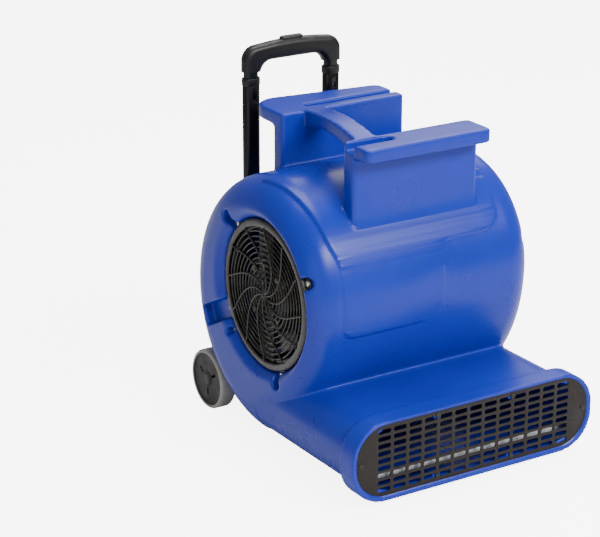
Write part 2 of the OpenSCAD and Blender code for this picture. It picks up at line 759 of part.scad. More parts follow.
// The coil spring under the yoke that lifts the button
module button_spring() color(zinc) {
    last = spring_turns * spring_steps;
    points = [for (i = [0:last]) each coil_ring(i)];
    sides = [for (i = [0:last - 1], j = [0:spring_sides - 1]) let (k = (j + 1) % spring_sides)
        [i * spring_sides + j, (i + 1) * spring_sides + j, (i + 1) * spring_sides + k, i * spring_sides + k]];
    start = [[for (j = [0:spring_sides - 1]) j]];
    finish = [[for (j = [spring_sides - 1:-1:0]) last * spring_sides + j]];
    polyhedron(points, concat(sides, start, finish));
}

module lock_pins() color(zinc)
    at_poles() translate([0, -pin_back, pin_z]) rotate([90, 0, 0]) cylinder(r = pin_r, h = 5.7);

module rubber_feet() color([0.12, 0.12, 0.12]) for (x = [-foot_x, foot_x]) translate([x, foot_y, 0])
    difference() {
        cylinder(r = foot_r, h = floor_z);
        translate([0, 0, -1]) cylinder(r = 6, h = 4.5);
        translate([0, 0, -1]) cylinder(r = foot_screw_r + 0.3, h = 20);
    }

module feet_screws() color(zinc)
    for (x = [-foot_x, foot_x]) translate([x, foot_y, 3.5]) screw(foot_screw_r - 0.1, 12, 5, 2.5);

housing();
inlet_ring(-1);  // left_inlet_ring
inlet_ring(1);  // right_inlet_ring
guard(-1);  // left_guard
guard(1);  // right_guard
guard_screws(-1);  // left_guard_screws
guard_screws(1);  // right_guard_screws
outlet_grille();
grille_screws();
outlet_brace();
impeller();
impeller_hub();
hub_set_screw();
motor_shaft();
rotor();
front_bearing();
rear_bearing();
stator();
front_motor_shield();
rear_motor_shield();
motor_bolts();
motor_bracket();
bracket_bolts();
capacitor();
capacitor_clip();
switch_panel();
panel_screws();
rotary_switch();
speed_knob();
cable_gland();
axle();
wheel_spacers();
axle_caps();
wheel_hub(-1);  // left_wheel_hub
tyre(-1);  // left_tyre
wheel_hub(1);  // right_wheel_hub
tyre(1);  // right_tyre
lower_pole_bracket();
upper_pole_clamp();
pole_bracket_screws();
outer_tubes();
tube_collars();
inner_tubes();
handle_grip();
release_button();
button_spring();
release_yoke();
release_rods();
lock_pins();
rubber_feet();
feet_screws();
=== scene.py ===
import json
import math

import bmesh
import bpy
from mathutils import Matrix, Vector


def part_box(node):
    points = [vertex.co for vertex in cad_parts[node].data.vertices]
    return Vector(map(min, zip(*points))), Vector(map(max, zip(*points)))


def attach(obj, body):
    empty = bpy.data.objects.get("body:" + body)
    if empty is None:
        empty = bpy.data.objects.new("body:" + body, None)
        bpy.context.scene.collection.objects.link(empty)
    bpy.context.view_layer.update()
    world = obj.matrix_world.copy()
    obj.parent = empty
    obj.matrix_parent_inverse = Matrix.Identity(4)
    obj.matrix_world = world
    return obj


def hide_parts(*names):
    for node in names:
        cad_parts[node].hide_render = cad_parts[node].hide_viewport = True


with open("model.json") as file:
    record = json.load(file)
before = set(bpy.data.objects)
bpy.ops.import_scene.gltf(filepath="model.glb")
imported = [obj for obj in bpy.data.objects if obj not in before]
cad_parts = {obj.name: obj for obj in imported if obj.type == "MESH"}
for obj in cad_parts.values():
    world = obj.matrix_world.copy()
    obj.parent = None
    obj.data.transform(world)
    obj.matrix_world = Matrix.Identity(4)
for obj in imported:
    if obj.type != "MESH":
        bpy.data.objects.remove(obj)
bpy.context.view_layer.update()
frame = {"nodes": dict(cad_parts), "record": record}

bl_info = {
    "name": "Car dryer blower",
    "version": (1, 0, 0),
    "blender": (4, 5, 0),
    "location": "View3D > Sidebar > Dryer",
    "description": "Builds the finished shells, wires, wheels and handle round a dryer's packed frame",
    "category": "Add Mesh",
}

MM = 0.001
FULL_TURN = 2 * math.pi
LEFT, RIGHT = -1, 1


# ---------------------------------------------------------------- places from the frame

def middle(node):
    low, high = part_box(node)
    return (low + high) / 2


BODY_OF = {node: body for body, nodes in frame["record"]["behaviour"]["bodies"].items() for node in nodes}

FAN = middle("impeller")
AXLE = middle("axle")
# The flat round each inlet, where the guard's band sits, and the guard's outer face.
SIDE_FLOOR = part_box("right_guard")[0].x
GUARD_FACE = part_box("right_guard")[1].x
# Outer radius of the guard's band, and the radius that its wires fill.
BAND_R = 123.4 * MM
GUARD_INNER = 112 * MM
PLATE = middle("outlet_grille")
# Two places nearer than this are taken as one.
SAME = 0.01 * MM


# ---------------------------------------------------------------- modelling helpers

def deselect():
    if bpy.context.mode != "OBJECT":
        bpy.ops.object.mode_set(mode="OBJECT")
    bpy.ops.object.select_all(action="DESELECT")


def only(obj):
    """Makes obj the one selected and active object."""
    deselect()
    obj.select_set(True)
    bpy.context.view_layer.objects.active = obj
    return obj


def settle(obj, name):
    """Puts the object's place, turn and size into its mesh, and names it."""
    only(obj)
    bpy.ops.object.transform_apply(location=True, rotation=True, scale=True)
    obj.name = name
    obj.data.name = name
    return obj


def modify(obj, kind, **values):
    """Adds a modifier, sets its values and applies it."""
    only(obj)
    modifier = obj.modifiers.new(kind.title(), kind)
    for key, value in values.items():
        setattr(modifier, key, value)
    bpy.ops.object.modifier_apply(modifier=modifier.name)
    return obj


def join(parts, name):
    """Makes one object of several. The first one stays."""
    deselect()
    for part in parts:
        part.select_set(True)
    bpy.context.view_layer.objects.active = parts[0]
    if len(parts) > 1:
        bpy.ops.object.join()
    result = bpy.context.object
    result.name = name
    result.data.name = name
    return result


def copy_of(obj, name):
    """A copy with its own mesh."""
    new = bpy.data.objects.new(name, obj.data.copy())
    bpy.context.scene.collection.objects.link(new)
    return new


def copy_of_node(node, name):
    """A merged copy of a CAD node's mesh, to shape further."""
    obj = bpy.data.objects.new(name, frame["nodes"][node].data.copy())
    bpy.context.scene.collection.objects.link(obj)
    obj.data.materials.clear()
    only(obj)
    bpy.ops.object.mode_set(mode="EDIT")
    bpy.ops.mesh.select_all(action="SELECT")
    bpy.ops.mesh.remove_doubles(threshold=1e-6)
    bpy.ops.object.mode_set(mode="OBJECT")
    return obj


def mirrored_in_x(obj, name):
    """A mirror image of the piece on the other side of the middle plane."""
    new = copy_of(obj, name)
    new.scale = (-1, 1, 1)
    settle(new, name)
    recalculate(new)
    return new


def recalculate(obj):
    only(obj)
    bpy.ops.object.mode_set(mode="EDIT")
    bpy.ops.mesh.select_all(action="SELECT")
    bpy.ops.mesh.normals_make_consistent(inside=False)
    bpy.ops.object.mode_set(mode="OBJECT")


def smooth(obj, degrees=35):
    only(obj)
    bpy.ops.object.shade_smooth_by_angle(angle=math.radians(degrees))
    return obj


def block(name, low, high):
    """A box between two corners."""
    deselect()
    low, high = Vector(low), Vector(high)
    bpy.ops.mesh.primitive_cube_add(size=1, location=(low + high) / 2, scale=high - low)
    return settle(bpy.context.object, name)


def bar(name, radius, start, end, vertices=24):
    """A round bar between two points."""
    deselect()
    start, end = Vector(start), Vector(end)
    bpy.ops.mesh.primitive_cylinder_add(vertices=vertices, radius=radius, depth=(end - start).length,
                                        location=(start + end) / 2)
    obj = bpy.context.object
    obj.rotation_mode = "QUATERNION"
    obj.rotation_quaternion = (end - start).to_track_quat("Z", "Y")
    return settle(obj, name)


AXES = {"X": Vector((1, 0, 0)), "Y": Vector((0, 1, 0)), "Z": Vector((0, 0, 1))}


def turned(name, outline, centre, axis="X", segments=96, solid=False):
    """A ring or disc turned round an axis, from a list of (radius, place on the axis).

    A circle is added at the first point, then extruded and scaled from point to point. A ring's
    last loop is bridged to its first, and a solid's two end loops are filled.
    """
    deselect()
    centre = Vector(centre)
    step = AXES[axis]
    facing = {"X": (0, math.pi / 2, 0), "Y": (math.pi / 2, 0, 0), "Z": (0, 0, 0)}[axis]
    base = centre - step * centre.dot(step)
    radius, place = outline[0]
    bpy.ops.mesh.primitive_circle_add(vertices=segments, radius=radius, rotation=facing,
                                      location=base + step * place)
    obj = settle(bpy.context.object, name)
    bpy.ops.object.mode_set(mode="EDIT")
    bpy.ops.mesh.select_all(action="SELECT")
    for new_radius, new_place in outline[1:]:
        bpy.ops.mesh.extrude_region_move(
            TRANSFORM_OT_translate={"value": step * (new_place - place)})
        ratio = new_radius / radius
        bpy.ops.transform.resize(value=tuple(1 if step[i] else ratio for i in range(3)),
                                 center_override=base + step * new_place)
        radius, place = new_radius, new_place
    bpy.ops.mesh.select_mode(type="EDGE")
    bpy.ops.mesh.select_all(action="DESELECT")
    bpy.ops.mesh.select_non_manifold()
    if solid:
        bpy.ops.mesh.fill_holes(sides=0)
    else:
        bpy.ops.mesh.bridge_edge_loops()
    bpy.ops.mesh.select_all(action="SELECT")
    bpy.ops.mesh.normals_make_consistent(inside=False)
    bpy.ops.object.mode_set(mode="OBJECT")
    return obj


def cut(obj, cutters):
    """Takes the space of each cutter out of obj, and removes the cutters."""
    for cutter in cutters:
        modify(obj, "BOOLEAN", operation="DIFFERENCE", object=cutter, solver="EXACT")
        bpy.data.objects.remove(cutter, do_unlink=True)
    return obj


def turn_mesh(obj, angle, axis, centre):
    """Turns the piece's mesh about a line through centre."""
    centre = Vector(centre)
    turn = Matrix.Rotation(angle, 4, AXES[axis])
    obj.data.transform(Matrix.Translation(centre) @ turn @ Matrix.Translation(-centre))
    return obj


def edges_where(obj, test):
    """In edit mode, selects just the edges whose two ends pass the test."""
    bpy.ops.mesh.select_mode(type="EDGE")
    bpy.ops.mesh.select_all(action="DESELECT")
    mesh = bmesh.from_edit_mesh(obj.data)
    for edge in mesh.edges:
        if test(edge.verts[0].co, edge.verts[1].co):
            edge.select_set(True)
    bmesh.update_edit_mesh(obj.data)


def faces_where(obj, test):
    """In edit mode, selects just the faces whose middle and normal pass the test."""
    bpy.ops.mesh.select_mode(type="FACE")
    bpy.ops.mesh.select_all(action="DESELECT")
    mesh = bmesh.from_edit_mesh(obj.data)
    for face in mesh.faces:
        if test(face.calc_center_median(), face.normal):
            face.select_set(True)
    bmesh.update_edit_mesh(obj.data)


def runs_along_y(start, end):
    """A test for edges_where, true for an edge that runs front to back."""
    return abs(start.y - end.y) > 1 * MM


def runs_along_z(start, end):
    """A test for edges_where, true for an edge that runs up and down."""
    return abs(start.z - end.z) > 1 * MM


def round_edges(obj, test, radius, segments):
    """Rounds the edges whose two ends pass the test."""
    only(obj)
    bpy.ops.object.mode_set(mode="EDIT")
    edges_where(obj, test)
    bpy.ops.mesh.bevel(offset=radius, segments=segments, affect="EDGES")
    bpy.ops.object.mode_set(mode="OBJECT")


def islands(node):
    """The (lowest, highest) corners of each separate solid of a CAD node."""
    mesh = bmesh.new()
    mesh.from_mesh(frame["nodes"][node].data)
    bmesh.ops.remove_doubles(mesh, verts=mesh.verts, dist=1e-6)
    unseen = set(mesh.verts)
    found = []
    while unseen:
        waiting = [unseen.pop()]
        solid = []
        while waiting:
            vert = waiting.pop()
            solid.append(vert.co.copy())
            for edge in vert.link_edges:
                other = edge.other_vert(vert)
                if other in unseen:
                    unseen.remove(other)
                    waiting.append(other)
        found.append((Vector(min(c[i] for c in solid) for i in range(3)),
                      Vector(max(c[i] for c in solid) for i in range(3))))
    mesh.free()
    return sorted(found, key=lambda box: tuple(box[0]))


def wire(name, points, radius):
    """A round wire through the given points, as a mesh."""
    deselect()
    bpy.ops.curve.primitive_nurbs_path_add()
    obj = bpy.context.object
    curve = obj.data
    curve.splines.clear()
    spline = curve.splines.new("POLY")
    spline.points.add(len(points) - 1)
    for point, place in zip(spline.points, points):
        point.co = (*place, 1)
    obj.location = (0, 0, 0)
    curve.dimensions = "3D"
    curve.bevel_depth = radius
    curve.bevel_resolution = 2
    curve.use_fill_caps = True
    only(obj)
    bpy.ops.object.convert(target="MESH")
    return settle(bpy.context.object, name)


def finish_piece(obj, body, material, replaces=(), degrees=35):
    """Gives a finished piece its material and body, and hides the CAD nodes that it replaces."""
    obj.data.materials.clear()
    obj.data.materials.append(material)
    smooth(obj, degrees)
    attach(obj, body)
    if replaces:
        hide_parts(*replaces)
    return obj


def finish_for(obj, node, material, degrees=35):
    """Finishes a piece that stands for one CAD node: same body, and the node is hidden."""
    return finish_piece(obj, BODY_OF[node], material, (node,), degrees)


def softened(node, material, width, segments=2, degrees=35):
    """A piece with the CAD node's shape and rounded edges."""
    obj = copy_of_node(node, node + "_finished")
    modify(obj, "BEVEL", width=width, segments=segments, limit_method="ANGLE",
           angle_limit=math.radians(38), use_clamp_overlap=True, harden_normals=False)
    return finish_for(obj, node, material, degrees)


def finish_node(node, material):
    """Gives a CAD node that stays in view its material."""
    obj = frame["nodes"][node]
    obj.data.materials.clear()
    obj.data.materials.append(material)


def pan_screws(node, name, axis, sign, head_r, head_h, material, slot_depth=1.1 * MM):
    """Screws with domed, cross-slotted heads at the places of a CAD node's screws.

    Each cross is turned differently, as screws are when they are driven by hand.
    """
    parts = []
    index = "XYZ".index(axis)
    step = AXES[axis] * sign
    shank_r = head_r * 0.45
    first_turn, turn_between = 0.5, 0.7
    for i, (low, high) in enumerate(islands(node)):
        centre = (low + high) / 2
        top = high[index] if sign > 0 else low[index]
        foot = low[index] if sign > 0 else high[index]
        seat = top - sign * head_h
        outline = [(shank_r, foot), (shank_r, seat), (head_r, seat),
                   (head_r, seat + sign * head_h * 0.45), (head_r * 0.92, seat + sign * head_h * 0.72),
                   (head_r * 0.70, seat + sign * head_h * 0.92), (head_r * 0.35, top)]
        screw = turned(name, outline, centre, axis, segments=28, solid=True)
        slots = []
        for arm in (0, math.pi / 2):
            half = Vector((head_r * 0.52, head_r * 0.11, slot_depth))
            slot = block("slot", -half, half)
            slot.data.transform(step.to_track_quat("Z", "Y").to_matrix().to_4x4()
                                @ Matrix.Rotation(arm + first_turn + turn_between * i, 4, "Z"))
            slot.data.transform(Matrix.Translation(centre + AXES[axis] * (top - centre[index])))
            slots.append(slot)
        cut(screw, slots)
        parts.append(screw)
    return finish_for(join(parts, name), node, material, 40)


# ---------------------------------------------------------------- shader node groups

def new_group(name, inputs, outputs):
    """A shader node group with float inputs {name: default} and outputs {name: socket type}."""
    group = bpy.data.node_groups.new(name, "ShaderNodeTree")
    for label, default in inputs.items():
        socket = group.interface.new_socket(label, in_out="INPUT", socket_type="NodeSocketFloat")
        socket.default_value = default
    for label, kind in outputs.items():
        group.interface.new_socket(label, in_out="OUTPUT", socket_type=kind)
    return group, group.nodes.new("NodeGroupInput"), group.nodes.new("NodeGroupOutput")


def link(tree, start, end):
    tree.links.new(start, end)


def math_node(tree, operation, a, b=None, clamp=False):
    node = tree.nodes.new("ShaderNodeMath")
    node.operation = operation
    node.use_clamp = clamp
    for socket, value in zip(node.inputs, (a, b)):
        if value is None:
            continue
        if isinstance(value, (int, float)):
            socket.default_value = value
        else:
            link(tree, value, socket)
    return node.outputs[0]


def noise_node(tree, vector, scale, detail, roughness=0.55):
    node = tree.nodes.new("ShaderNodeTexNoise")
    link(tree, vector, node.inputs["Vector"])
    if isinstance(scale, (int, float)):
        node.inputs["Scale"].default_value = scale
    else:
        link(tree, scale, node.inputs["Scale"])
    node.inputs["Detail"].default_value = detail
    node.inputs["Roughness"].default_value = roughness
    return node.outputs["Fac"]


def range_node(tree, value, from_low, from_high, to_low=0.0, to_high=1.0):
    node = tree.nodes.new("ShaderNodeMapRange")
    node.interpolation_type = "SMOOTHSTEP"
    link(tree, value, node.inputs["Value"])
    ends = {"From Min": from_low, "From Max": from_high, "To Min": to_low, "To Max": to_high}
    for label, number in ends.items():
        if isinstance(number, (int, float)):
            node.inputs[label].default_value = number
        else:
            link(tree, number, node.inputs[label])
    return node.outputs["Result"]


def grain_group():
    """Fine moulded or cast grain: a height that mixes two scales of noise."""
    group, inside, out = new_group("Grain", {"Scale": 900.0, "Coarse": 0.4}, {"Height": "NodeSocketFloat"})
    place = group.nodes.new("ShaderNodeTexCoord").outputs["Object"]
    fine = noise_node(group, place, inside.outputs["Scale"], 2.0)
    coarse = noise_node(group, place, math_node(group, "MULTIPLY", inside.outputs["Scale"], 0.12), 3.0)
    mixed = math_node(group, "ADD", fine, math_node(group, "MULTIPLY", coarse, inside.outputs["Coarse"]))
    link(group, mixed, out.inputs["Height"])
    return group


def mottle_group():
    """Slow uneven tone, as moulded plastic and paint have: a value from 0 to 1."""
    group, inside, out = new_group("Mottle", {"Scale": 9.0}, {"Value": "NodeSocketFloat"})
    place = group.nodes.new("ShaderNodeTexCoord").outputs["Object"]
    slow = noise_node(group, place, inside.outputs["Scale"], 4.0, 0.6)
    link(group, range_node(group, slow, 0.3, 0.7), out.inputs["Value"])
    return group


def scuff_group():
    """Short fine scratches in patches: a mask."""
    group, inside, out = new_group("Scuffs", {"Scale": 60.0, "Amount": 0.3}, {"Mask": "NodeSocketFloat"})
    place = group.nodes.new("ShaderNodeTexCoord").outputs["Object"]
    stretch = group.nodes.new("ShaderNodeMapping")
    stretch.inputs["Rotation"].default_value = (0.5, 0.9, 0.3)
    stretch.inputs["Scale"].default_value = (0.6, 16.0, 16.0)
    link(group, place, stretch.inputs["Vector"])
    lines = noise_node(group, stretch.outputs["Vector"], inside.outputs["Scale"], 2.0, 0.4)
    patches = noise_node(group, place, 11.0, 2.0)
    thin = range_node(group, lines, 0.64, 0.70)
    where = range_node(group, patches, 0.5, 0.62)
    mask = math_node(group, "MULTIPLY", math_node(group, "MULTIPLY", thin, where), inside.outputs["Amount"])
    link(group, mask, out.inputs["Mask"])
    return group


def dust_group():
    """Dust that lies on upward faces, broken up by noise: a mask."""
    group, inside, out = new_group("Dust", {"Amount": 0.15}, {"Mask": "NodeSocketFloat"})
    place = group.nodes.new("ShaderNodeTexCoord").outputs["Object"]
    normal = group.nodes.new("ShaderNodeNewGeometry").outputs["Normal"]
    parts = group.nodes.new("ShaderNodeSeparateXYZ")
    link(group, normal, parts.inputs[0])
    up = range_node(group, parts.outputs["Z"], 0.2, 1.0)
    broken = range_node(group, noise_node(group, place, 34.0, 5.0, 0.7), 0.35, 0.75)
    mask = math_node(group, "MULTIPLY", math_node(group, "MULTIPLY", up, broken), inside.outputs["Amount"])
    link(group, mask, out.inputs["Mask"])
    return group


GROUP_MAKERS = {"Grain": grain_group, "Mottle": mottle_group, "Scuffs": scuff_group, "Dust": dust_group}


def group_node(tree, name, **values):
    """Places one of the shared groups in a material, made on first use."""
    group = bpy.data.node_groups.get(name) or GROUP_MAKERS[name]()
    node = tree.nodes.new("ShaderNodeGroup")
    node.node_tree = group
    for key, value in values.items():
        node.inputs[key].default_value = value
    return node


# ---------------------------------------------------------------- materials

def rgba(colour):
    return (*colour[:3], 1.0)


def mix_colour(tree, mask, a, b):
    """Colour a where the mask is 0 and b where it is 1. Each is a colour or a socket."""
    node = tree.nodes.new("ShaderNodeMix")
    node.data_type = "RGBA"
    link(tree, mask, node.inputs["Factor"])
    for socket, value in ((node.inputs[6], a), (node.inputs[7], b)):
        if isinstance(value, (tuple, list)):
            socket.default_value = rgba(value)
        else:
            link(tree, value, socket)
    return node.outputs[2]


def shaded(colour, factor):
    return tuple(min(1.0, c * factor) for c in colour[:3])


DUST_COLOUR = (0.45, 0.43, 0.40)


def finish(name, colour, rough, tone, tone_scale, grain, bump, scuffs, dust, metal=0.0,
           bump_distance=0.0002, scuff_colour=None, coarse=0.4, specular=0.5):
    """A procedural finish: uneven tone, patchy gloss, grain, scuffs and a little dust."""
    material = bpy.data.materials.get(name)
    if material:
        return material
    material = bpy.data.materials.new(name)
    material.use_nodes = True
    material.diffuse_color = rgba(colour)
    tree = material.node_tree
    shader = tree.nodes["Principled BSDF"]
    mottle = group_node(tree, "Mottle", Scale=tone_scale).outputs["Value"]
    scuff = group_node(tree, "Scuffs", Amount=scuffs).outputs["Mask"]
    base = mix_colour(tree, mottle, shaded(colour, 1 - tone), shaded(colour, 1 + tone))
    worn = mix_colour(tree, scuff, base, scuff_colour or shaded(colour, 1.8))
    gloss = range_node(tree, mottle, 0.0, 1.0, rough[0], rough[1])
    rougher = math_node(tree, "ADD", gloss, math_node(tree, "MULTIPLY", scuff, 0.4), clamp=True)
    if dust:
        dusty = group_node(tree, "Dust", Amount=dust).outputs["Mask"]
        worn = mix_colour(tree, dusty, worn, DUST_COLOUR)
        duller = math_node(tree, "MULTIPLY", dusty, 0.5)
        rougher = math_node(tree, "ADD", rougher, duller, clamp=True)
    link(tree, worn, shader.inputs["Base Color"])
    link(tree, rougher, shader.inputs["Roughness"])
    shader.inputs["Metallic"].default_value = metal
    shader.inputs["Specular IOR Level"].default_value = specular
    heights = group_node(tree, "Grain", Scale=grain, Coarse=coarse).outputs["Height"]
    relief = tree.nodes.new("ShaderNodeBump")
    relief.inputs["Strength"].default_value = bump
    relief.inputs["Distance"].default_value = bump_distance
    link(tree, heights, relief.inputs["Height"])
    link(tree, relief.outputs["Normal"], shader.inputs["Normal"])
    return material


def brushed(name, colour, rough=(0.22, 0.42), stretch=(1.0, 1.0, 0.04), scale=700.0, spangle=0.0):
    """Bare or plated metal with fine brush marks along one axis, or a zinc spangle."""
    material = bpy.data.materials.get(name)
    if material:
        return material
    material = bpy.data.materials.new(name)
    material.use_nodes = True
    material.diffuse_color = rgba(colour)
    tree = material.node_tree
    shader = tree.nodes["Principled BSDF"]
    place = tree.nodes.new("ShaderNodeTexCoord").outputs["Object"]
    mapping = tree.nodes.new("ShaderNodeMapping")
    mapping.inputs["Scale"].default_value = stretch
    link(tree, place, mapping.inputs["Vector"])
    lines = noise_node(tree, mapping.outputs["Vector"], scale, 2.0, 0.6)
    patches = group_node(tree, "Mottle", Scale=24.0).outputs["Value"]
    tone = mix_colour(tree, patches, shaded(colour, 0.82), shaded(colour, 1.1))
    if spangle:
        cells = tree.nodes.new("ShaderNodeTexVoronoi")
        cells.inputs["Scale"].default_value = 160.0
        link(tree, place, cells.inputs["Vector"])
        flake = range_node(tree, cells.outputs["Distance"], 0.0, 0.7, 0.0, spangle)
        tone = mix_colour(tree, flake, tone, shaded(colour, 0.55))
    scuff = group_node(tree, "Scuffs", Amount=0.35).outputs["Mask"]
    link(tree, mix_colour(tree, scuff, tone, shaded(colour, 0.5)), shader.inputs["Base Color"])
    link(tree, range_node(tree, lines, 0.3, 0.7, rough[0], rough[1]), shader.inputs["Roughness"])
    shader.inputs["Metallic"].default_value = 1.0
    relief = tree.nodes.new("ShaderNodeBump")
    relief.inputs["Strength"].default_value = 0.12
    relief.inputs["Distance"].default_value = 0.0001
    link(tree, lines, relief.inputs["Height"])
    link(tree, relief.outputs["Normal"], shader.inputs["Normal"])
    return material


def moulded_blue():
    colours = bpy.context.scene.dryer_finishes
    return finish("Moulded blue", colours.shell, rough=(0.27, 0.36), tone=0.05, tone_scale=6.0,
                  grain=420.0, bump=0.035, scuffs=0.04, dust=0.0, coarse=0.5, specular=0.3)


def satin_black_paint():
    return finish("Satin black paint", (0.008, 0.0065, 0.005), rough=(0.3, 0.42), tone=0.2,
                  tone_scale=30.0, specular=0.4, grain=1600.0, bump=0.1, scuffs=0.25,
                  scuff_colour=(0.2, 0.18, 0.16), dust=0.12)


def wire_paint():
    return finish("Wire paint", (0.020, 0.017, 0.014), rough=(0.2, 0.32), tone=0.2, tone_scale=50.0,
                  grain=2200.0, bump=0.12, scuffs=0.3, scuff_colour=(0.25, 0.23, 0.2), dust=0.1)


def powder_coat():
    return finish("Textured powder coat", (0.0100, 0.0066, 0.0049), specular=0.35, rough=(0.5, 0.65),
                  tone=0.18, tone_scale=20.0, grain=1500.0, bump=0.35, scuffs=0.2,
                  scuff_colour=(0.15, 0.12, 0.1), dust=0.1)


def black_plastic():
    return finish("Black plastic", (0.006, 0.006, 0.006), specular=0.35, rough=(0.38, 0.52), tone=0.15,
                  tone_scale=25.0, grain=1800.0, bump=0.3, scuffs=0.25,
                  scuff_colour=(0.12, 0.12, 0.12), dust=0.12)


def grip_plastic():
    return finish("Grip plastic", (0.004, 0.004, 0.004), specular=0.35, rough=(0.34, 0.46), tone=0.12,
                  tone_scale=30.0, grain=2400.0, bump=0.3, scuffs=0.2,
                  scuff_colour=(0.14, 0.14, 0.14), dust=0.08)


def tube_paint():
    return finish("Gloss black tube", (0.002, 0.002, 0.002), specular=0.35, rough=(0.18, 0.3), tone=0.2,
                  tone_scale=16.0, grain=500.0, bump=0.05, scuffs=0.35,
                  scuff_colour=(0.18, 0.18, 0.18), dust=0.05)


def hub_plastic():
    return finish("Hub plastic", (0.008, 0.0056, 0.0042), specular=0.35, rough=(0.4, 0.55), tone=0.15,
                  tone_scale=40.0, grain=1600.0, bump=0.25, scuffs=0.3,
                  scuff_colour=(0.16, 0.14, 0.12), dust=0.1)


def tyre_grey():
    return finish("Grey tyre", (0.30, 0.285, 0.26), rough=(0.6, 0.78), tone=0.12, tone_scale=40.0,
                  grain=1200.0, bump=0.3, scuffs=0.4, scuff_colour=(0.12, 0.11, 0.1), dust=0.15)


def impeller_black():
    return finish("Impeller plastic", (0.03, 0.03, 0.032), rough=(0.4, 0.55), tone=0.2, tone_scale=20.0,
                  grain=1400.0, bump=0.15, scuffs=0.2, dust=0.4)


def cast_metal():
    return finish("Cast alloy", (0.62, 0.62, 0.62), metal=1.0, rough=(0.38, 0.55), tone=0.1,
                  tone_scale=30.0, grain=900.0, bump=0.4, bump_distance=0.0003, scuffs=0.3,
                  scuff_colour=(0.3, 0.3, 0.3), dust=0.2)


def capacitor_white():
    return finish("Capacitor can", (0.72, 0.71, 0.66), rough=(0.3, 0.42), tone=0.05, tone_scale=30.0,
                  grain=1400.0, bump=0.1, scuffs=0.3, scuff_colour=(0.4, 0.38, 0.35), dust=0.2)


def foot_rubber():
    return finish("Foot rubber", (0.02, 0.02, 0.02), rough=(0.65, 0.8), tone=0.15, tone_scale=60.0,
                  grain=1100.0, bump=0.3, scuffs=0.4, scuff_colour=(0.2, 0.19, 0.18), dust=0.3)


def dull_motor_paint():
    return finish("Dull motor paint", (0.006, 0.0048, 0.004), specular=0.35, rough=(0.4, 0.55), tone=0.2,
                  tone_scale=34.0, grain=900.0, bump=0.3, bump_distance=0.0003, scuffs=0.3,
                  scuff_colour=(0.05, 0.04, 0.035), dust=0.06)


def black_screw():
    return finish("Blackened screws", (0.05, 0.045, 0.04), metal=0.8, rough=(0.35, 0.5), tone=0.2,
                  tone_scale=90.0, grain=2000.0, bump=0.1, scuffs=0.5, scuff_colour=(0.3, 0.3, 0.3),
                  dust=0.05)


def zinc():
    return brushed("Galvanised sheet", (0.70, 0.71, 0.72), rough=(0.28, 0.5), spangle=0.3)


def ground_steel():
    return brushed("Ground steel", (0.60, 0.60, 0.62), stretch=(0.05, 1.0, 1.0))


def laminated_steel():
    return brushed("Laminated steel", (0.35, 0.34, 0.35), rough=(0.4, 0.6), stretch=(1.0, 0.05, 0.05),
                   scale=1500.0)


def screw_steel():
    return brushed("Plated screws", (0.66, 0.65, 0.62), rough=(0.2, 0.38), stretch=(1.0, 1.0, 1.0),
                   scale=900.0)


# ---------------------------------------------------------------- settings

class DryerFinishes(bpy.types.PropertyGroup):
    shell: bpy.props.FloatVectorProperty(
        name="Shell", description="Colour of the moulded housing", subtype="COLOR", size=3,
        min=0, max=1, default=(0.008, 0.023, 0.34))


class DryerHousing(bpy.types.PropertyGroup):
    voxel: bpy.props.FloatProperty(
        name="Voxel", description="Size of the cells that the moulded skin is remade in", unit="LENGTH",
        default=2.3 * MM, min=1 * MM, max=8 * MM)
    rounding: bpy.props.IntProperty(
        name="Rounding", description="Passes that soften the moulded edges", default=5, min=0, max=30)
    panel_height: bpy.props.FloatProperty(
        name="Panel height", description="How far the raised panel stands out of the barrel", unit="LENGTH",
        default=4.0 * MM, min=0, max=6 * MM)
    triangles: bpy.props.IntProperty(
        name="Triangles", description="Most triangles that the finished shell keeps",
        default=190000, min=20000)


class DryerGuard(bpy.types.PropertyGroup):
    wire: bpy.props.FloatProperty(
        name="Wire radius", description="Radius of the guard's wires", unit="LENGTH", default=1.3 * MM)
    rings: bpy.props.IntProperty(name="Rings", description="Number of concentric wires", default=12)
    spokes: bpy.props.IntProperty(name="Spokes", description="Number of curved spokes", default=12)
    dish: bpy.props.FloatProperty(
        name="Dish", description="How far the wires sink towards the middle", unit="LENGTH",
        default=1.2 * MM)
    swirl: bpy.props.FloatProperty(
        name="Swirl", description="How far a spoke turns on its way to the middle", subtype="ANGLE",
        default=math.radians(62))


class DryerOutlet(bpy.types.PropertyGroup):
    columns: bpy.props.IntProperty(
        name="Columns", description="Slots across the outlet plate", default=13, min=1)
    rows: bpy.props.IntProperty(
        name="Rows", description="Slots down the outlet plate", default=9, min=1)
    pitch_x: bpy.props.FloatProperty(
        name="Pitch across", description="Distance between slots across the plate", unit="LENGTH",
        default=28.33 * MM)
    pitch_z: bpy.props.FloatProperty(
        name="Pitch down", description="Distance between slots down the plate", unit="LENGTH",
        default=12 * MM)
    slot_width: bpy.props.FloatProperty(
        name="Slot width", description="Length of one slot across the plate", unit="LENGTH",
        default=22.6 * MM)
    slot_height: bpy.props.FloatProperty(
        name="Slot height", description="Height of one slot", unit="LENGTH", default=7.4 * MM)
    slot_round: bpy.props.FloatProperty(
        name="Slot corner", description="Radius of a slot's corners", unit="LENGTH", default=2.8 * MM)


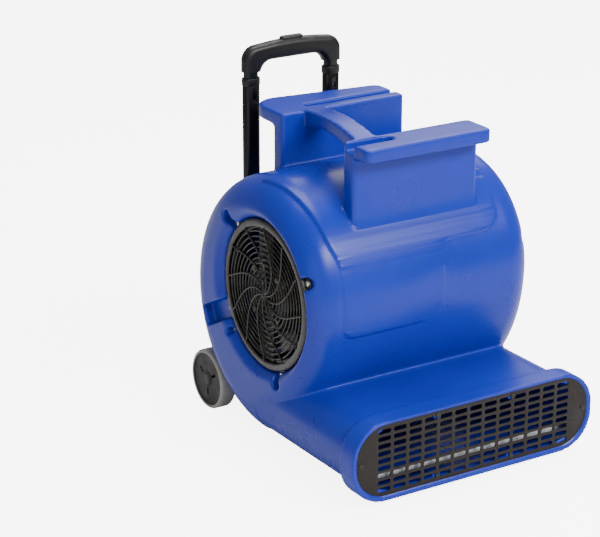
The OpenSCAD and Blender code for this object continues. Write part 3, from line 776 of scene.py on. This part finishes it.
class DryerHandle(bpy.types.PropertyGroup):
    leg: bpy.props.FloatProperty(
        name="Leg", description="Width of a leg of the grip", unit="LENGTH", default=32 * MM)
    bar: bpy.props.FloatProperty(
        name="Bar", description="Height of the bar in its middle", unit="LENGTH", default=32 * MM)
    arch: bpy.props.FloatProperty(
        name="Arch", description="How far the bar's top rises in its middle", unit="LENGTH",
        default=4.5 * MM)
    outer_round: bpy.props.FloatProperty(
        name="Outer corner", description="Radius of the grip's two outer corners", unit="LENGTH",
        default=25 * MM)
    inner_round: bpy.props.FloatProperty(
        name="Inner corner", description="Radius of the grip's two inner corners", unit="LENGTH",
        default=22 * MM)
    rim_round: bpy.props.FloatProperty(
        name="Rim", description="Radius of the long front and back rims", unit="LENGTH",
        default=10.5 * MM)


class DryerStage(bpy.types.PropertyGroup):
    azimuth: bpy.props.FloatProperty(
        name="Azimuth", description="Turn of the camera round the dryer", subtype="ANGLE",
        default=math.radians(-32.2))
    elevation: bpy.props.FloatProperty(
        name="Elevation", description="Height of the camera as an angle", subtype="ANGLE",
        default=math.radians(19.81))
    distance: bpy.props.FloatProperty(
        name="Distance", description="From the camera to the point it looks at", unit="LENGTH",
        default=3.403)
    target: bpy.props.FloatVectorProperty(
        name="Target", description="The point that the camera looks at", subtype="TRANSLATION",
        unit="LENGTH", default=(-0.1391, 0.0141, 0.2882))
    lens: bpy.props.FloatProperty(name="Lens", description="Focal length of the camera", default=128.7)


# ---------------------------------------------------------------- housing

# The barrel's front is two arcs: an upper one round (ARC_Y, ARC_Z) and a flatter one below its
# middle, whose centre lies FLAT further back.
ARC_Y, ARC_Z, ARC_R = 27 * MM, 269 * MM, 172 * MM
FLAT = 100 * MM
# EDGE_R is the radius that rolls the front over into the barrel's sides, at HALF from the middle.
EDGE_R = 56 * MM
HALF = 216 * MM
# The raised panel is a short wide part and a long narrow one, blended over PANEL_BLEND. Corners are
# (x, length round the front), and both parts start behind the top.
PANEL_START = (-158 * MM, -200 * MM)
LONG_END, LONG_CORNER = (30 * MM, 317 * MM), 20 * MM
SHORT_END, SHORT_CORNER = (144 * MM, 190 * MM), 34 * MM
PANEL_BLEND = 26 * MM
PANEL_EDGE = 3.2 * MM
# From SPREAD_FROM upwards the panel gets wider, by SPREAD of the length on each side.
SPREAD_FROM, SPREAD = 200 * MM, 0.11
# The panel is flush within FADE_START of this point, and has its full height FADE_LENGTH further out.
FADE_POINT, FADE_START, FADE_LENGTH = (34 * MM, 322 * MM), 25 * MM, 70 * MM


def barrel_place(co):
    """Where a point near the barrel's front lies on it.

    Gives x, the length round the front from the top, and the height above the surface.
    """
    x, y, z = co
    roll = max(0.0, abs(x) - (HALF - EDGE_R))
    drop = EDGE_R - math.sqrt(max(0.0, EDGE_R ** 2 - roll ** 2))
    quarter = ARC_R * math.pi / 2
    if z >= ARC_Z:
        away = math.hypot(y - ARC_Y, z - ARC_Z)
        return x, ARC_R * math.atan2(ARC_Y - y, z - ARC_Z), away - (ARC_R - drop)
    away = math.hypot(y - ARC_Y - FLAT, z - ARC_Z)
    along = quarter + (ARC_R + FLAT) * math.atan2(ARC_Z - z, ARC_Y + FLAT - y)
    return x, along, away - (ARC_R + FLAT - drop)


def round_box_distance(x, t, low, high, radius):
    """Signed distance from (x, t) to a rectangle with round corners. It is negative inside."""
    dx = abs(x - (low[0] + high[0]) / 2) - (high[0] - low[0]) / 2 + radius
    dt = abs(t - (low[1] + high[1]) / 2) - (high[1] - low[1]) / 2 + radius
    return math.hypot(max(dx, 0), max(dt, 0)) + min(max(dx, dt), 0) - radius


def panel_weight(co):
    """How much of the raised panel's height a point of the barrel gets, from 0 to 1."""
    x, t, above = barrel_place(co)
    if abs(above) > 4 * MM or not -20 * MM < t < 330 * MM:
        return 0.0
    spread = SPREAD * max(0.0, SPREAD_FROM - t)
    side = x + spread if x < 0 else x - spread
    long_part = round_box_distance(side, t, PANEL_START, LONG_END, LONG_CORNER)
    short_part = round_box_distance(side, t, PANEL_START, SHORT_END, SHORT_CORNER)
    k = max(0.0, min(1.0, 0.5 + 0.5 * (short_part - long_part) / PANEL_BLEND))
    distance = short_part * (1 - k) + long_part * k - PANEL_BLEND * k * (1 - k)
    rise = max(0.0, min(1.0, 0.5 - distance / PANEL_EDGE))
    away = math.hypot(x - FADE_POINT[0], t - FADE_POINT[1])
    fade = max(0.0, min(1.0, (away - FADE_START) / FADE_LENGTH))
    return rise * rise * (3 - 2 * rise) * fade


class DRYER_OT_housing(bpy.types.Operator):
    """Remakes the housing as one softly rounded moulded skin with its raised panel"""
    bl_idname = "dryer.housing"
    bl_label = "Housing"

    def execute(self, context):
        sizes = context.scene.dryer_housing
        shell = copy_of_node("housing", "housing_shell")
        voxel = sizes.voxel * 1
        modify(shell, "REMESH", mode="VOXEL", voxel_size=voxel, adaptivity=0)
        modify(shell, "SMOOTH", factor=0.5, iterations=sizes.rounding)
        group = shell.vertex_groups.new(name="raised_panel")
        for vert in shell.data.vertices:
            weight = panel_weight(vert.co)
            if weight > 0:
                group.add([vert.index], weight, "REPLACE")
        modify(shell, "DISPLACE", strength=sizes.panel_height, mid_level=0, vertex_group="raised_panel")
        faces = len(shell.data.polygons) * 2
        if faces > sizes.triangles:
            modify(shell, "DECIMATE", ratio=sizes.triangles / faces)
            modify(shell, "SMOOTH", factor=0.35, iterations=3)
        finish_piece(shell, "body", moulded_blue(), ("housing",), 50)
        modify(shell, "WEIGHTED_NORMAL", weight=60, keep_sharp=True)
        return {"FINISHED"}


# ---------------------------------------------------------------- inlets

# How far the wires lie behind the guard's outer face at the band, and the radius where spokes end.
WIRE_INSET = 2.5 * MM
SPOKE_END = 2.5 * MM
# A guard screw further from the fan's axis than this sits beside the band, and has no tab.
FARTHEST_TAB = 133 * MM


def guard_depth(sizes, radius):
    """Place along the fan axis of a wire of the right guard at this radius."""
    return GUARD_FACE - WIRE_INSET - sizes.dish * (1 - (radius / GUARD_INNER) ** 2)


def guard_spoke(sizes, index):
    """One spoke, straight near the band and curling towards the middle."""
    points = []
    steps = 20
    for j in range(steps + 1):
        radius = GUARD_INNER * (1 - j / steps) + SPOKE_END * j / steps
        angle = FULL_TURN * index / sizes.spokes + sizes.swirl * (1 - radius / GUARD_INNER) ** 1.5
        x = guard_depth(sizes, radius) + 1.7 * sizes.wire
        points.append((x, FAN.y + radius * math.cos(angle), FAN.z + radius * math.sin(angle)))
    return wire("spoke", points, sizes.wire)


def guard_tabs(node, side):
    """The band's screw tabs, where the CAD's guard screws sit on it."""
    tabs = []
    for low, high in islands(node):
        centre = (low + high) / 2
        away = Vector((0, centre.y - FAN.y, centre.z - FAN.z))
        if away.length > FARTHEST_TAB:
            continue
        start = SIDE_FLOOR * side
        eye = turned("tab_eye", [
            (3.0 * MM, start), (7.6 * MM, start), (8.0 * MM, start + side * 0.6 * MM),
            (8.0 * MM, start + side * 1.9 * MM), (7.6 * MM, start + side * 2.5 * MM),
            (3.0 * MM, start + side * 2.5 * MM)], centre, segments=32)
        tabs.append(eye)
        neck_face = start + side * 2.4 * MM
        neck = block("tab_neck", (min(start, neck_face), FAN.y - 7.5 * MM, 0),
                     (max(start, neck_face), FAN.y + 7.5 * MM, 6 * MM))
        neck.data.transform(Matrix.Translation((0, 0, FAN.z + BAND_R - 2 * MM)))
        turn_mesh(neck, math.atan2(-away.y, away.z), "X", (0, FAN.y, FAN.z))
        tabs.append(neck)
    return tabs


class DRYER_OT_guards(bpy.types.Operator):
    """Builds the wire guard and its band in both inlets"""
    bl_idname = "dryer.guards"
    bl_label = "Inlet guards"

    def execute(self, context):
        sizes = context.scene.dryer_guard
        face = GUARD_FACE
        floor = SIDE_FLOOR
        band = turned("guard_band", [
            (110.8 * MM, face - 3.4 * MM), (110.9 * MM, face - 1.4 * MM), (112.0 * MM, face - 0.3 * MM),
            (114.5 * MM, face), (119.8 * MM, face - 0.3 * MM), (122.2 * MM, face - 1.2 * MM),
            (BAND_R, face - 3.2 * MM), (BAND_R, floor), (121.9 * MM, floor), (121.6 * MM, face - 3.4 * MM),
            (119.5 * MM, face - 2.1 * MM), (114.0 * MM, face - 2.0 * MM)], FAN, segments=144)
        parts = [band]
        for i in range(1, sizes.rings + 1):
            radius = GUARD_INNER * i / (sizes.rings + 1)
            deselect()
            bpy.ops.mesh.primitive_torus_add(
                major_radius=radius, minor_radius=sizes.wire,
                major_segments=max(24, int(radius * 1000)), minor_segments=8,
                location=(guard_depth(sizes, radius), FAN.y, FAN.z), rotation=(0, math.pi / 2, 0))
            parts.append(settle(bpy.context.object, "ring_wire"))
        parts += [guard_spoke(sizes, i) for i in range(sizes.spokes)]
        hub = turned("hub_plate", [
            (1.2 * MM, face - 3.6 * MM), (6.5 * MM, face - 3.6 * MM), (6.5 * MM, face - 1.6 * MM),
            (1.2 * MM, face - 1.2 * MM)], FAN, segments=24)
        parts.append(hub)
        right = join(parts, "right_wire_guard")
        left = mirrored_in_x(right, "left_wire_guard")
        right = join([right] + guard_tabs("right_guard_screws", RIGHT), "right_wire_guard")
        left = join([left] + guard_tabs("left_guard_screws", LEFT), "left_wire_guard")
        for guard, node in ((right, "right_guard"), (left, "left_guard")):
            finish_for(guard, node, wire_paint(), 40)
        for side, sign in (("right", RIGHT), ("left", LEFT)):
            pan_screws(side + "_guard_screws", side + "_guard_screw_set", "X", sign, 5.0 * MM, 3.2 * MM,
                       screw_steel())
        return {"FINISHED"}


class DRYER_OT_inlet_rings(bpy.types.Operator):
    """Builds the pressed inlet ring behind each guard"""
    bl_idname = "dryer.inlet_rings"
    bl_label = "Inlet rings"

    def execute(self, context):
        floor = SIDE_FLOOR
        throat, throat_back = 105.5 * MM, 107.7 * MM
        rim = 121.0 * MM
        depth = floor - 14 * MM
        outline = [
            (throat, depth), (throat, floor + 1.0 * MM), (106.4 * MM, floor + 2.6 * MM),
            (108.0 * MM, floor + 3.0 * MM), (120.0 * MM, floor + 3.0 * MM), (rim, floor + 2.2 * MM),
            (rim, floor), (109.5 * MM, floor), (throat_back, floor - 2 * MM), (throat_back, depth)]
        right = turned("right_ring", outline, FAN, segments=112)
        left = mirrored_in_x(right, "left_ring")
        for ring, node in ((right, "right_inlet_ring"), (left, "left_inlet_ring")):
            finish_for(ring, node, satin_black_paint(), 40)
        return {"FINISHED"}


# ---------------------------------------------------------------- outlet

class DRYER_OT_outlet(bpy.types.Operator):
    """Builds the slotted outlet plate, its screws and the brace behind it"""
    bl_idname = "dryer.outlet"
    bl_label = "Outlet"

    def execute(self, context):
        sizes = context.scene.dryer_outlet
        low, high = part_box("outlet_grille")
        plate = block("outlet_plate", low, high)
        round_edges(plate, runs_along_y, 54 * MM, 16)
        half = Vector((sizes.slot_width / 2, 6 * MM, sizes.slot_height / 2))
        across = sizes.pitch_x * (sizes.columns - 1)
        down = sizes.pitch_z * (sizes.rows - 1)
        first = PLATE - Vector((across / 2, 0, down / 2))
        slot = block("slot", first - half, first + half)
        round_edges(slot, runs_along_y, sizes.slot_round, 4)
        rows_and_columns = ((sizes.columns, (sizes.pitch_x, 0, 0)), (sizes.rows, (0, 0, sizes.pitch_z)))
        for count, shift in rows_and_columns:
            modify(slot, "ARRAY", count=count, use_relative_offset=False, use_constant_offset=True,
                   constant_offset_displace=shift)
        cut(plate, [slot])
        modify(plate, "BEVEL", width=0.45 * MM, segments=2, limit_method="ANGLE",
               angle_limit=math.radians(50))
        finish_for(plate, "outlet_grille", powder_coat(), 40)
        pan_screws("grille_screws", "outlet_plate_screws", "Y", -1, 4.2 * MM, 1.8 * MM, black_screw(),
                   0.8 * MM)
        softened("outlet_brace", zinc(), 0.3 * MM, 1)
        return {"FINISHED"}


# ---------------------------------------------------------------- fan and motor

class DRYER_OT_fan(bpy.types.Operator):
    """Finishes the impeller, the motor and what holds it"""
    bl_idname = "dryer.fan"
    bl_label = "Fan and motor"

    def execute(self, context):
        finish_node("impeller", impeller_black())
        for node, material, width in (
                ("impeller_hub", cast_metal(), 0.8), ("rear_motor_shield", dull_motor_paint(), 2.0),
                ("front_motor_shield", dull_motor_paint(), 2.0), ("stator", laminated_steel(), 0.5),
                ("motor_bracket", dull_motor_paint(), 0.5), ("capacitor", capacitor_white(), 1.5),
                ("capacitor_clip", zinc(), 0.3), ("motor_bolts", black_screw(), 0.6),
                ("bracket_bolts", black_screw(), 0.6)):
            softened(node, material, width * MM)
        for node, material in (("hub_set_screw", black_screw()), ("motor_shaft", ground_steel()),
                               ("rotor", laminated_steel()), ("front_bearing", ground_steel()),
                               ("rear_bearing", ground_steel())):
            finish_node(node, material)
        return {"FINISHED"}


# ---------------------------------------------------------------- wheels

class DRYER_OT_wheels(bpy.types.Operator):
    """Builds both wheels: a grey tyre on a dark disc with three slots, and the axle with its caps"""
    bl_idname = "dryer.wheels"
    bl_label = "Wheels"

    def execute(self, context):
        low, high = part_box("right_tyre")
        radius = (high.z - low.z) / 2
        hub_r = (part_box("right_wheel_hub")[1].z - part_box("right_wheel_hub")[0].z) / 2
        inner, outer = low.x, high.x
        shoulder = 5.2 * MM
        lip = hub_r + 0.8 * MM
        rolls = (0.25, 0.55, 0.85, 1.15, 1.45)
        drops = [radius - shoulder * (1 - math.sin(roll)) for roll in rolls]
        insets = [shoulder * (1 - math.cos(roll)) for roll in rolls]
        near_side = [(drop, inner + inset) for drop, inset in zip(drops, insets)]
        far_side = [(drop, outer - inset) for drop, inset in zip(drops, insets)]
        tyre = turned(
            "right_wheel_tyre",
            [(hub_r, inner + 1 * MM), (lip, inner)] + near_side + [(radius, (inner + outer) / 2)]
            + far_side[::-1] + [(lip, outer), (hub_r, outer - 1 * MM)], AXLE, segments=112)
        hub = self.hub(inner + 1 * MM, outer - 1 * MM, hub_r)
        for piece, base in ((tyre, "tyre"), (hub, "wheel_hub")):
            other = mirrored_in_x(piece, "left_" + base + "_finished")
            material = tyre_grey() if base == "tyre" else hub_plastic()
            finish_for(piece, "right_" + base, material, 30)
            finish_for(other, "left_" + base, material, 30)
        finish_node("axle", ground_steel())
        softened("wheel_spacers", black_plastic(), 0.5 * MM)
        softened("axle_caps", hub_plastic(), 0.9 * MM)
        return {"FINISHED"}

    @staticmethod
    def hub(inner, outer, radius):
        """A disc with a raised rim, a shallow dished face and three narrow slots."""
        bore, cap_seat = 6.2 * MM, 10.7 * MM
        hub = turned("right_wheel_hub_finished", [
            (radius, inner), (radius, outer - 0.8 * MM), (radius - 0.8 * MM, outer),
            (radius - 2.2 * MM, outer), (radius - 3.2 * MM, outer - 1.6 * MM), (30 * MM, outer - 2.2 * MM),
            (15 * MM, outer - 1.4 * MM), (13.5 * MM, outer - 0.4 * MM), (11.4 * MM, outer - 0.2 * MM),
            (cap_seat, outer - 1.0 * MM), (cap_seat, outer - 5 * MM), (bore, outer - 5.2 * MM),
            (bore, inner)], AXLE, segments=112)
        slots = 3
        cutters = []
        for i in range(slots):
            slot = block("slot", (outer - 9 * MM, AXLE.y - 2.4 * MM, AXLE.z - 29 * MM),
                         (outer + 2 * MM, AXLE.y + 2.4 * MM, AXLE.z - 15.5 * MM))
            modify(slot, "BEVEL", width=1.6 * MM, segments=3)
            cutters.append(turn_mesh(slot, FULL_TURN * i / slots, "X", AXLE))
        cut(hub, cutters)
        return hub


# ---------------------------------------------------------------- pull handle

class DRYER_OT_handle(bpy.types.Operator):
    """Builds the rounded grip with its button, and finishes the tubes and brackets"""
    bl_idname = "dryer.handle"
    bl_label = "Pull handle"

    def execute(self, context):
        sizes = context.scene.dryer_handle
        self.grip(sizes)
        self.button()
        softened("outer_tubes", tube_paint(), 0.5 * MM, 2)
        softened("tube_collars", black_plastic(), 1.0 * MM, 3)
        softened("inner_tubes", tube_paint(), 0.3 * MM, 1)
        softened("lower_pole_bracket", black_plastic(), 3.0 * MM, 4)
        softened("upper_pole_clamp", black_plastic(), 3.0 * MM, 4)
        softened("pole_bracket_screws", screw_steel(), 1.2 * MM, 3)
        for node, material in (("release_yoke", black_plastic()), ("release_rods", ground_steel()),
                               ("lock_pins", ground_steel()), ("button_spring", ground_steel())):
            finish_node(node, material)
        return {"FINISHED"}

    @staticmethod
    def grip(sizes):
        """A cube drawn out into a leg, a bar and a second leg, then rounded at its corners and rims."""
        low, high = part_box("handle_grip")
        leg = sizes.leg
        flat_top = high.z - sizes.arch
        under = high.z - sizes.bar
        foot = under - sizes.inner_round - 4 * MM
        corner = sizes.inner_round + 2 * MM
        grip = block("grip", (low.x, low.y, foot), (low.x + leg, high.y, under))
        bpy.ops.object.mode_set(mode="EDIT")
        faces_where(grip, lambda c, n: n.z > 0.9)
        bpy.ops.mesh.extrude_region_move(TRANSFORM_OT_translate={"value": (0, 0, flat_top - under)})
        steps = 12
        run = high.x - low.x - 2 * leg - 2 * corner
        faces_where(grip, lambda c, n: n.x > 0.9 and c.z > under)
        for length in [corner] + [run / steps] * steps + [corner, leg]:
            bpy.ops.mesh.extrude_region_move(TRANSFORM_OT_translate={"value": (length, 0, 0)})
        faces_where(grip, lambda c, n: n.z < -0.9 and c.x > high.x - leg)
        bpy.ops.mesh.extrude_region_move(TRANSFORM_OT_translate={"value": (0, 0, foot - under)})
        edges_where(grip, lambda a, b: runs_along_y(a, b) and abs(a.z - flat_top) < SAME
                    and (abs(a.x - low.x) < SAME or abs(a.x - high.x) < SAME))
        bpy.ops.mesh.bevel(offset=sizes.outer_round, segments=10, affect="EDGES")
        edges_where(grip, lambda a, b: runs_along_y(a, b) and abs(a.z - under) < SAME
                    and (abs(a.x - low.x - leg) < SAME or abs(a.x - high.x + leg) < SAME))
        bpy.ops.mesh.bevel(offset=sizes.inner_round, segments=10, affect="EDGES")
        reach = high.x - sizes.outer_round
        mesh = bmesh.from_edit_mesh(grip.data)
        for vert in mesh.verts:
            if abs(vert.co.x) < reach and vert.co.z > flat_top - SAME:
                vert.co.z += sizes.arch * (1 - (vert.co.x / reach) ** 2)
        for side in (-1, 1):
            faces_where(grip, lambda c, n: n.y * side > 0.99)
            bpy.ops.mesh.dissolve_faces()
        edges_where(grip, lambda a, b: abs(a.y - b.y) < SAME
                    and (abs(a.y - low.y) < SAME or abs(a.y - high.y) < SAME)
                    and not (a.z < foot + SAME and b.z < foot + SAME))
        bpy.ops.mesh.bevel(offset=sizes.rim_round, segments=7, affect="EDGES", loop_slide=False)
        bpy.ops.object.mode_set(mode="OBJECT")
        spare = 5 * MM
        cut(grip, [block("below", (low.x - spare, low.y - spare, foot - spare),
                         (high.x + spare, high.y + spare, low.z))])
        grip.name = grip.data.name = "rounded_grip"
        well = block("well", *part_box("release_button"))
        well.data.transform(Matrix.Translation((0, 0, -6 * MM)))
        widen(well, 0.7 * MM)
        round_edges(well, runs_along_z, 7.2 * MM, 8)
        cut(grip, [well])
        cut(grip, DRYER_OT_handle.grip_hollows(low.z))
        finish_for(grip, "handle_grip", grip_plastic(), 32)

    @staticmethod
    def grip_hollows(foot):
        """The space inside the grip for the yoke, the two rods and the ends of the inner tubes."""
        low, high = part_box("release_yoke")
        hollows = [block("yoke_space", low - Vector((2, 1.5, 5.5)) * MM,
                         high + Vector((2, 1.5, 1.5)) * MM)]
        for low, high in islands("inner_tubes"):
            centre = (low + high) / 2
            socket = block("socket", (low.x, low.y, foot - 1 * MM), (high.x, high.y, high.z))
            round_edges(socket, runs_along_z, (high.y - low.y) * 0.49, 8)
            hollows.append(socket)
            hollows.append(bar("rod_space", 3.4 * MM, (centre.x, centre.y, foot),
                               (centre.x, centre.y, foot + 30 * MM)))
        return hollows

    @staticmethod
    def button():
        """An oblong block with round corners and a soft top edge."""
        low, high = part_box("release_button")
        button = block("rounded_button", low, high)
        round_edges(button, runs_along_z, 6.9 * MM, 8)
        round_edges(button, lambda a, b: min(a.z, b.z) > high.z - SAME, 3.8 * MM, 6)
        finish_for(button, "release_button", black_plastic(), 32)


def widen(obj, amount):
    """Grows a block by amount on each side in X and Y."""
    centre = sum((v.co for v in obj.data.vertices), Vector()) / len(obj.data.vertices)
    for vert in obj.data.vertices:
        for i in (0, 1):
            vert.co[i] += amount if vert.co[i] > centre[i] else -amount


# ---------------------------------------------------------------- back panel and feet

# Radius of the knob's skirt, which reaches lowest of all the knob.
SKIRT_R = 18 * MM
# The panel has one dial mark for off and one for each speed, this far apart.
MARKS, MARK_STEP = 4, math.radians(45)


def knob_centre():
    centre = middle("speed_knob")
    centre.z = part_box("speed_knob")[0].z + SKIRT_R
    return centre


class DRYER_OT_back_panel(bpy.types.Operator):
    """Finishes the switch panel with its knob, dial marks, gland and screws, and the feet"""
    bl_idname = "dryer.back_panel"
    bl_label = "Switch panel and feet"

    def execute(self, context):
        softened("switch_panel", powder_coat(), 0.9 * MM, 3)
        softened("rotary_switch", black_plastic(), 0.8 * MM)
        softened("cable_gland", black_plastic(), 0.7 * MM, 3)
        pan_screws("panel_screws", "panel_screw_set", "Y", 1, 3.8 * MM, 2.2 * MM, screw_steel(),
                   0.9 * MM)
        self.knob()
        self.marks()
        softened("rubber_feet", foot_rubber(), 1.2 * MM, 3)
        pan_screws("feet_screws", "feet_screw_set", "Z", -1, 5.0 * MM, 2.5 * MM, screw_steel())
        return {"FINISHED"}

    @staticmethod
    def knob():
        """A turned knob with a skirt, finger flutes round it and a white pointer line."""
        low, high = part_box("speed_knob")
        centre = knob_centre()
        face = high.y
        neck = 3.0 * MM
        knob = turned("fluted_knob", [
            (neck, low.y), (neck, face - 15 * MM), (SKIRT_R, face - 15.6 * MM),
            (SKIRT_R, face - 13.6 * MM), (17 * MM, face - 12.8 * MM), (13.4 * MM, face - 12.2 * MM),
            (13 * MM, face - 1.4 * MM), (11.8 * MM, face - 0.2 * MM), (9.5 * MM, face), (2 * MM, face)],
            centre, "Y", segments=72, solid=True)
        count, flute_circle = 12, 14.2 * MM
        flutes = []
        for i in range(count):
            angle = FULL_TURN * (i + 0.5) / count
            x = centre.x + flute_circle * math.cos(angle)
            z = centre.z + flute_circle * math.sin(angle)
            flutes.append(bar("flute", 2.0 * MM, (x, face - 11.4 * MM, z), (x, face + 3 * MM, z), 16))
        cut(knob, flutes)
        finish_for(knob, "speed_knob", black_plastic(), 35)
        pointer = block("knob_pointer", (centre.x - 0.8 * MM, face - 0.3 * MM, centre.z + 4 * MM),
                        (centre.x + 0.8 * MM, face + 0.15 * MM, centre.z + 11.2 * MM))
        modify(pointer, "BEVEL", width=0.1 * MM, segments=2)
        finish_piece(pointer, BODY_OF["speed_knob"], capacitor_white())

    @staticmethod
    def marks():
        """Plain dial lines on the panel, one for each speed and one for off."""
        centre = knob_centre()
        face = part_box("switch_panel")[1].y
        lines = []
        for i in range(MARKS):
            line = block("mark", (centre.x - 0.7 * MM, face - 0.1 * MM, centre.z + 20.5 * MM),
                         (centre.x + 0.7 * MM, face + 0.12 * MM, centre.z + 24.5 * MM))
            lines.append(turn_mesh(line, MARK_STEP * i, "Y", centre))
        finish_piece(join(lines, "dial_marks"), BODY_OF["switch_panel"], capacitor_white())


# ---------------------------------------------------------------- stage

# Each soft light: its place, the point it faces, its width and height, and its power in watts.
LIGHTS = {
    "key": ((0.5, -2.7, 2.45), (0, 0, 0.25), (2.8, 0.9), 165),
    "fill": ((-2.6, -2.0, 1.0), (0, 0, 0.25), (1.8, 1.8), 9),
    "top": ((0.3, 0.5, 3.0), (0, 0, 0.3), (1.5, 1.5), 62),
    "back": ((2.0, 1.8, 2.2), (0, 0, 0.3), (1.6, 1.4), 26),
}
# The surround lights the dryer with the first strength, and is seen with the second.
SURROUND_LIGHT, SURROUND_SEEN = 0.36, 9.0
FLOOR_SEEN = 6.0


def soft_light(name, location, target, size, power):
    data = bpy.data.lights.new(name, "AREA")
    data.shape = "RECTANGLE"
    data.size, data.size_y = size
    data.energy = power
    obj = bpy.data.objects.new(name, data)
    bpy.context.scene.collection.objects.link(obj)
    obj.location = location
    obj.rotation_euler = (Vector(target) - Vector(location)).to_track_quat("-Z", "Y").to_euler()


class DRYER_OT_stage(bpy.types.Operator):
    """Makes the pale floor, the soft lights and the camera"""
    bl_idname = "dryer.stage"
    bl_label = "Stage"

    def execute(self, context):
        sizes = context.scene.dryer_stage
        deselect()
        bpy.ops.mesh.primitive_plane_add(size=14, location=(0, 0, -0.0005))
        floor = settle(bpy.context.object, "floor")
        floor.data.materials.append(self.floor_material())
        target = Vector(sizes.target)
        turn, rise = sizes.azimuth, sizes.elevation
        back = Vector((math.sin(turn) * math.cos(rise), -math.cos(turn) * math.cos(rise), math.sin(rise)))
        data = bpy.data.cameras.new("camera")
        data.lens = sizes.lens
        data.sensor_width = 36
        camera = bpy.data.objects.new("camera", data)
        context.scene.collection.objects.link(camera)
        camera.location = target + back * sizes.distance
        camera.rotation_euler = (-back).to_track_quat("-Z", "Y").to_euler()
        context.scene.camera = camera
        for name, values in LIGHTS.items():
            soft_light(name, *values)
        self.sky(context)
        return {"FINISHED"}

    @staticmethod
    def floor_material():
        """A pale matt floor, brighter straight to the camera than as light."""
        material = bpy.data.materials.new("Pale floor")
        material.use_nodes = True
        tree = material.node_tree
        shader = tree.nodes["Principled BSDF"]
        value = group_node(tree, "Mottle", Scale=1.5).outputs["Value"]
        pale = mix_colour(tree, value, (0.90, 0.90, 0.90), (0.92, 0.92, 0.92))
        link(tree, pale, shader.inputs["Base Color"])
        shader.inputs["Roughness"].default_value = 0.8
        shader.inputs["Emission Color"].default_value = (1, 1, 1, 1)
        path = tree.nodes.new("ShaderNodeLightPath")
        link(tree, math_node(tree, "MULTIPLY", path.outputs["Is Camera Ray"], FLOOR_SEEN),
             shader.inputs["Emission Strength"])
        return material

    @staticmethod
    def sky(context):
        """An even pale surround, brighter straight to the camera than as light."""
        world = bpy.data.worlds.new("Surround")
        context.scene.world = world
        world.use_nodes = True
        tree = world.node_tree
        tree.nodes.clear()
        out = tree.nodes.new("ShaderNodeOutputWorld")
        mixed = tree.nodes.new("ShaderNodeMixShader")
        path = tree.nodes.new("ShaderNodeLightPath")
        for strength, socket in ((SURROUND_LIGHT, 1), (SURROUND_SEEN, 2)):
            light = tree.nodes.new("ShaderNodeBackground")
            light.inputs["Color"].default_value = (1, 1, 1, 1)
            light.inputs["Strength"].default_value = strength
            link(tree, light.outputs[0], mixed.inputs[socket])
        link(tree, path.outputs["Is Camera Ray"], mixed.inputs["Fac"])
        link(tree, mixed.outputs[0], out.inputs["Surface"])


STEPS = ("stage", "housing", "inlet_rings", "guards", "outlet", "fan", "wheels", "handle", "back_panel")


class VIEW3D_PT_dryer(bpy.types.Panel):
    """Lists the dryer's sizes, finishes and build steps"""
    bl_label = "Car dryer blower"
    bl_idname = "VIEW3D_PT_dryer"
    bl_space_type = "VIEW_3D"
    bl_region_type = "UI"
    bl_category = "Dryer"

    def draw(self, context):
        for name in SETTINGS:
            box = self.layout.box()
            group = getattr(context.scene, name)
            for key in group.__annotations__:
                box.prop(group, key)
        for step in STEPS:
            self.layout.operator("dryer." + step)


SETTINGS = {"dryer_finishes": DryerFinishes, "dryer_housing": DryerHousing, "dryer_guard": DryerGuard,
            "dryer_outlet": DryerOutlet, "dryer_handle": DryerHandle, "dryer_stage": DryerStage}
OPERATORS = (DRYER_OT_stage, DRYER_OT_housing, DRYER_OT_inlet_rings, DRYER_OT_guards, DRYER_OT_outlet,
             DRYER_OT_fan, DRYER_OT_wheels, DRYER_OT_handle, DRYER_OT_back_panel)
CLASSES = tuple(SETTINGS.values()) + OPERATORS + (VIEW3D_PT_dryer,)


def register():
    for cls in CLASSES:
        bpy.utils.register_class(cls)
    for name, group in SETTINGS.items():
        setattr(bpy.types.Scene, name, bpy.props.PointerProperty(type=group))


def unregister():
    for name in SETTINGS:
        delattr(bpy.types.Scene, name)
    for cls in reversed(CLASSES):
        bpy.utils.unregister_class(cls)


def main():
    register()
    for step in STEPS:
        getattr(bpy.ops.dryer, step)()


if __name__ == "__main__":
    main()
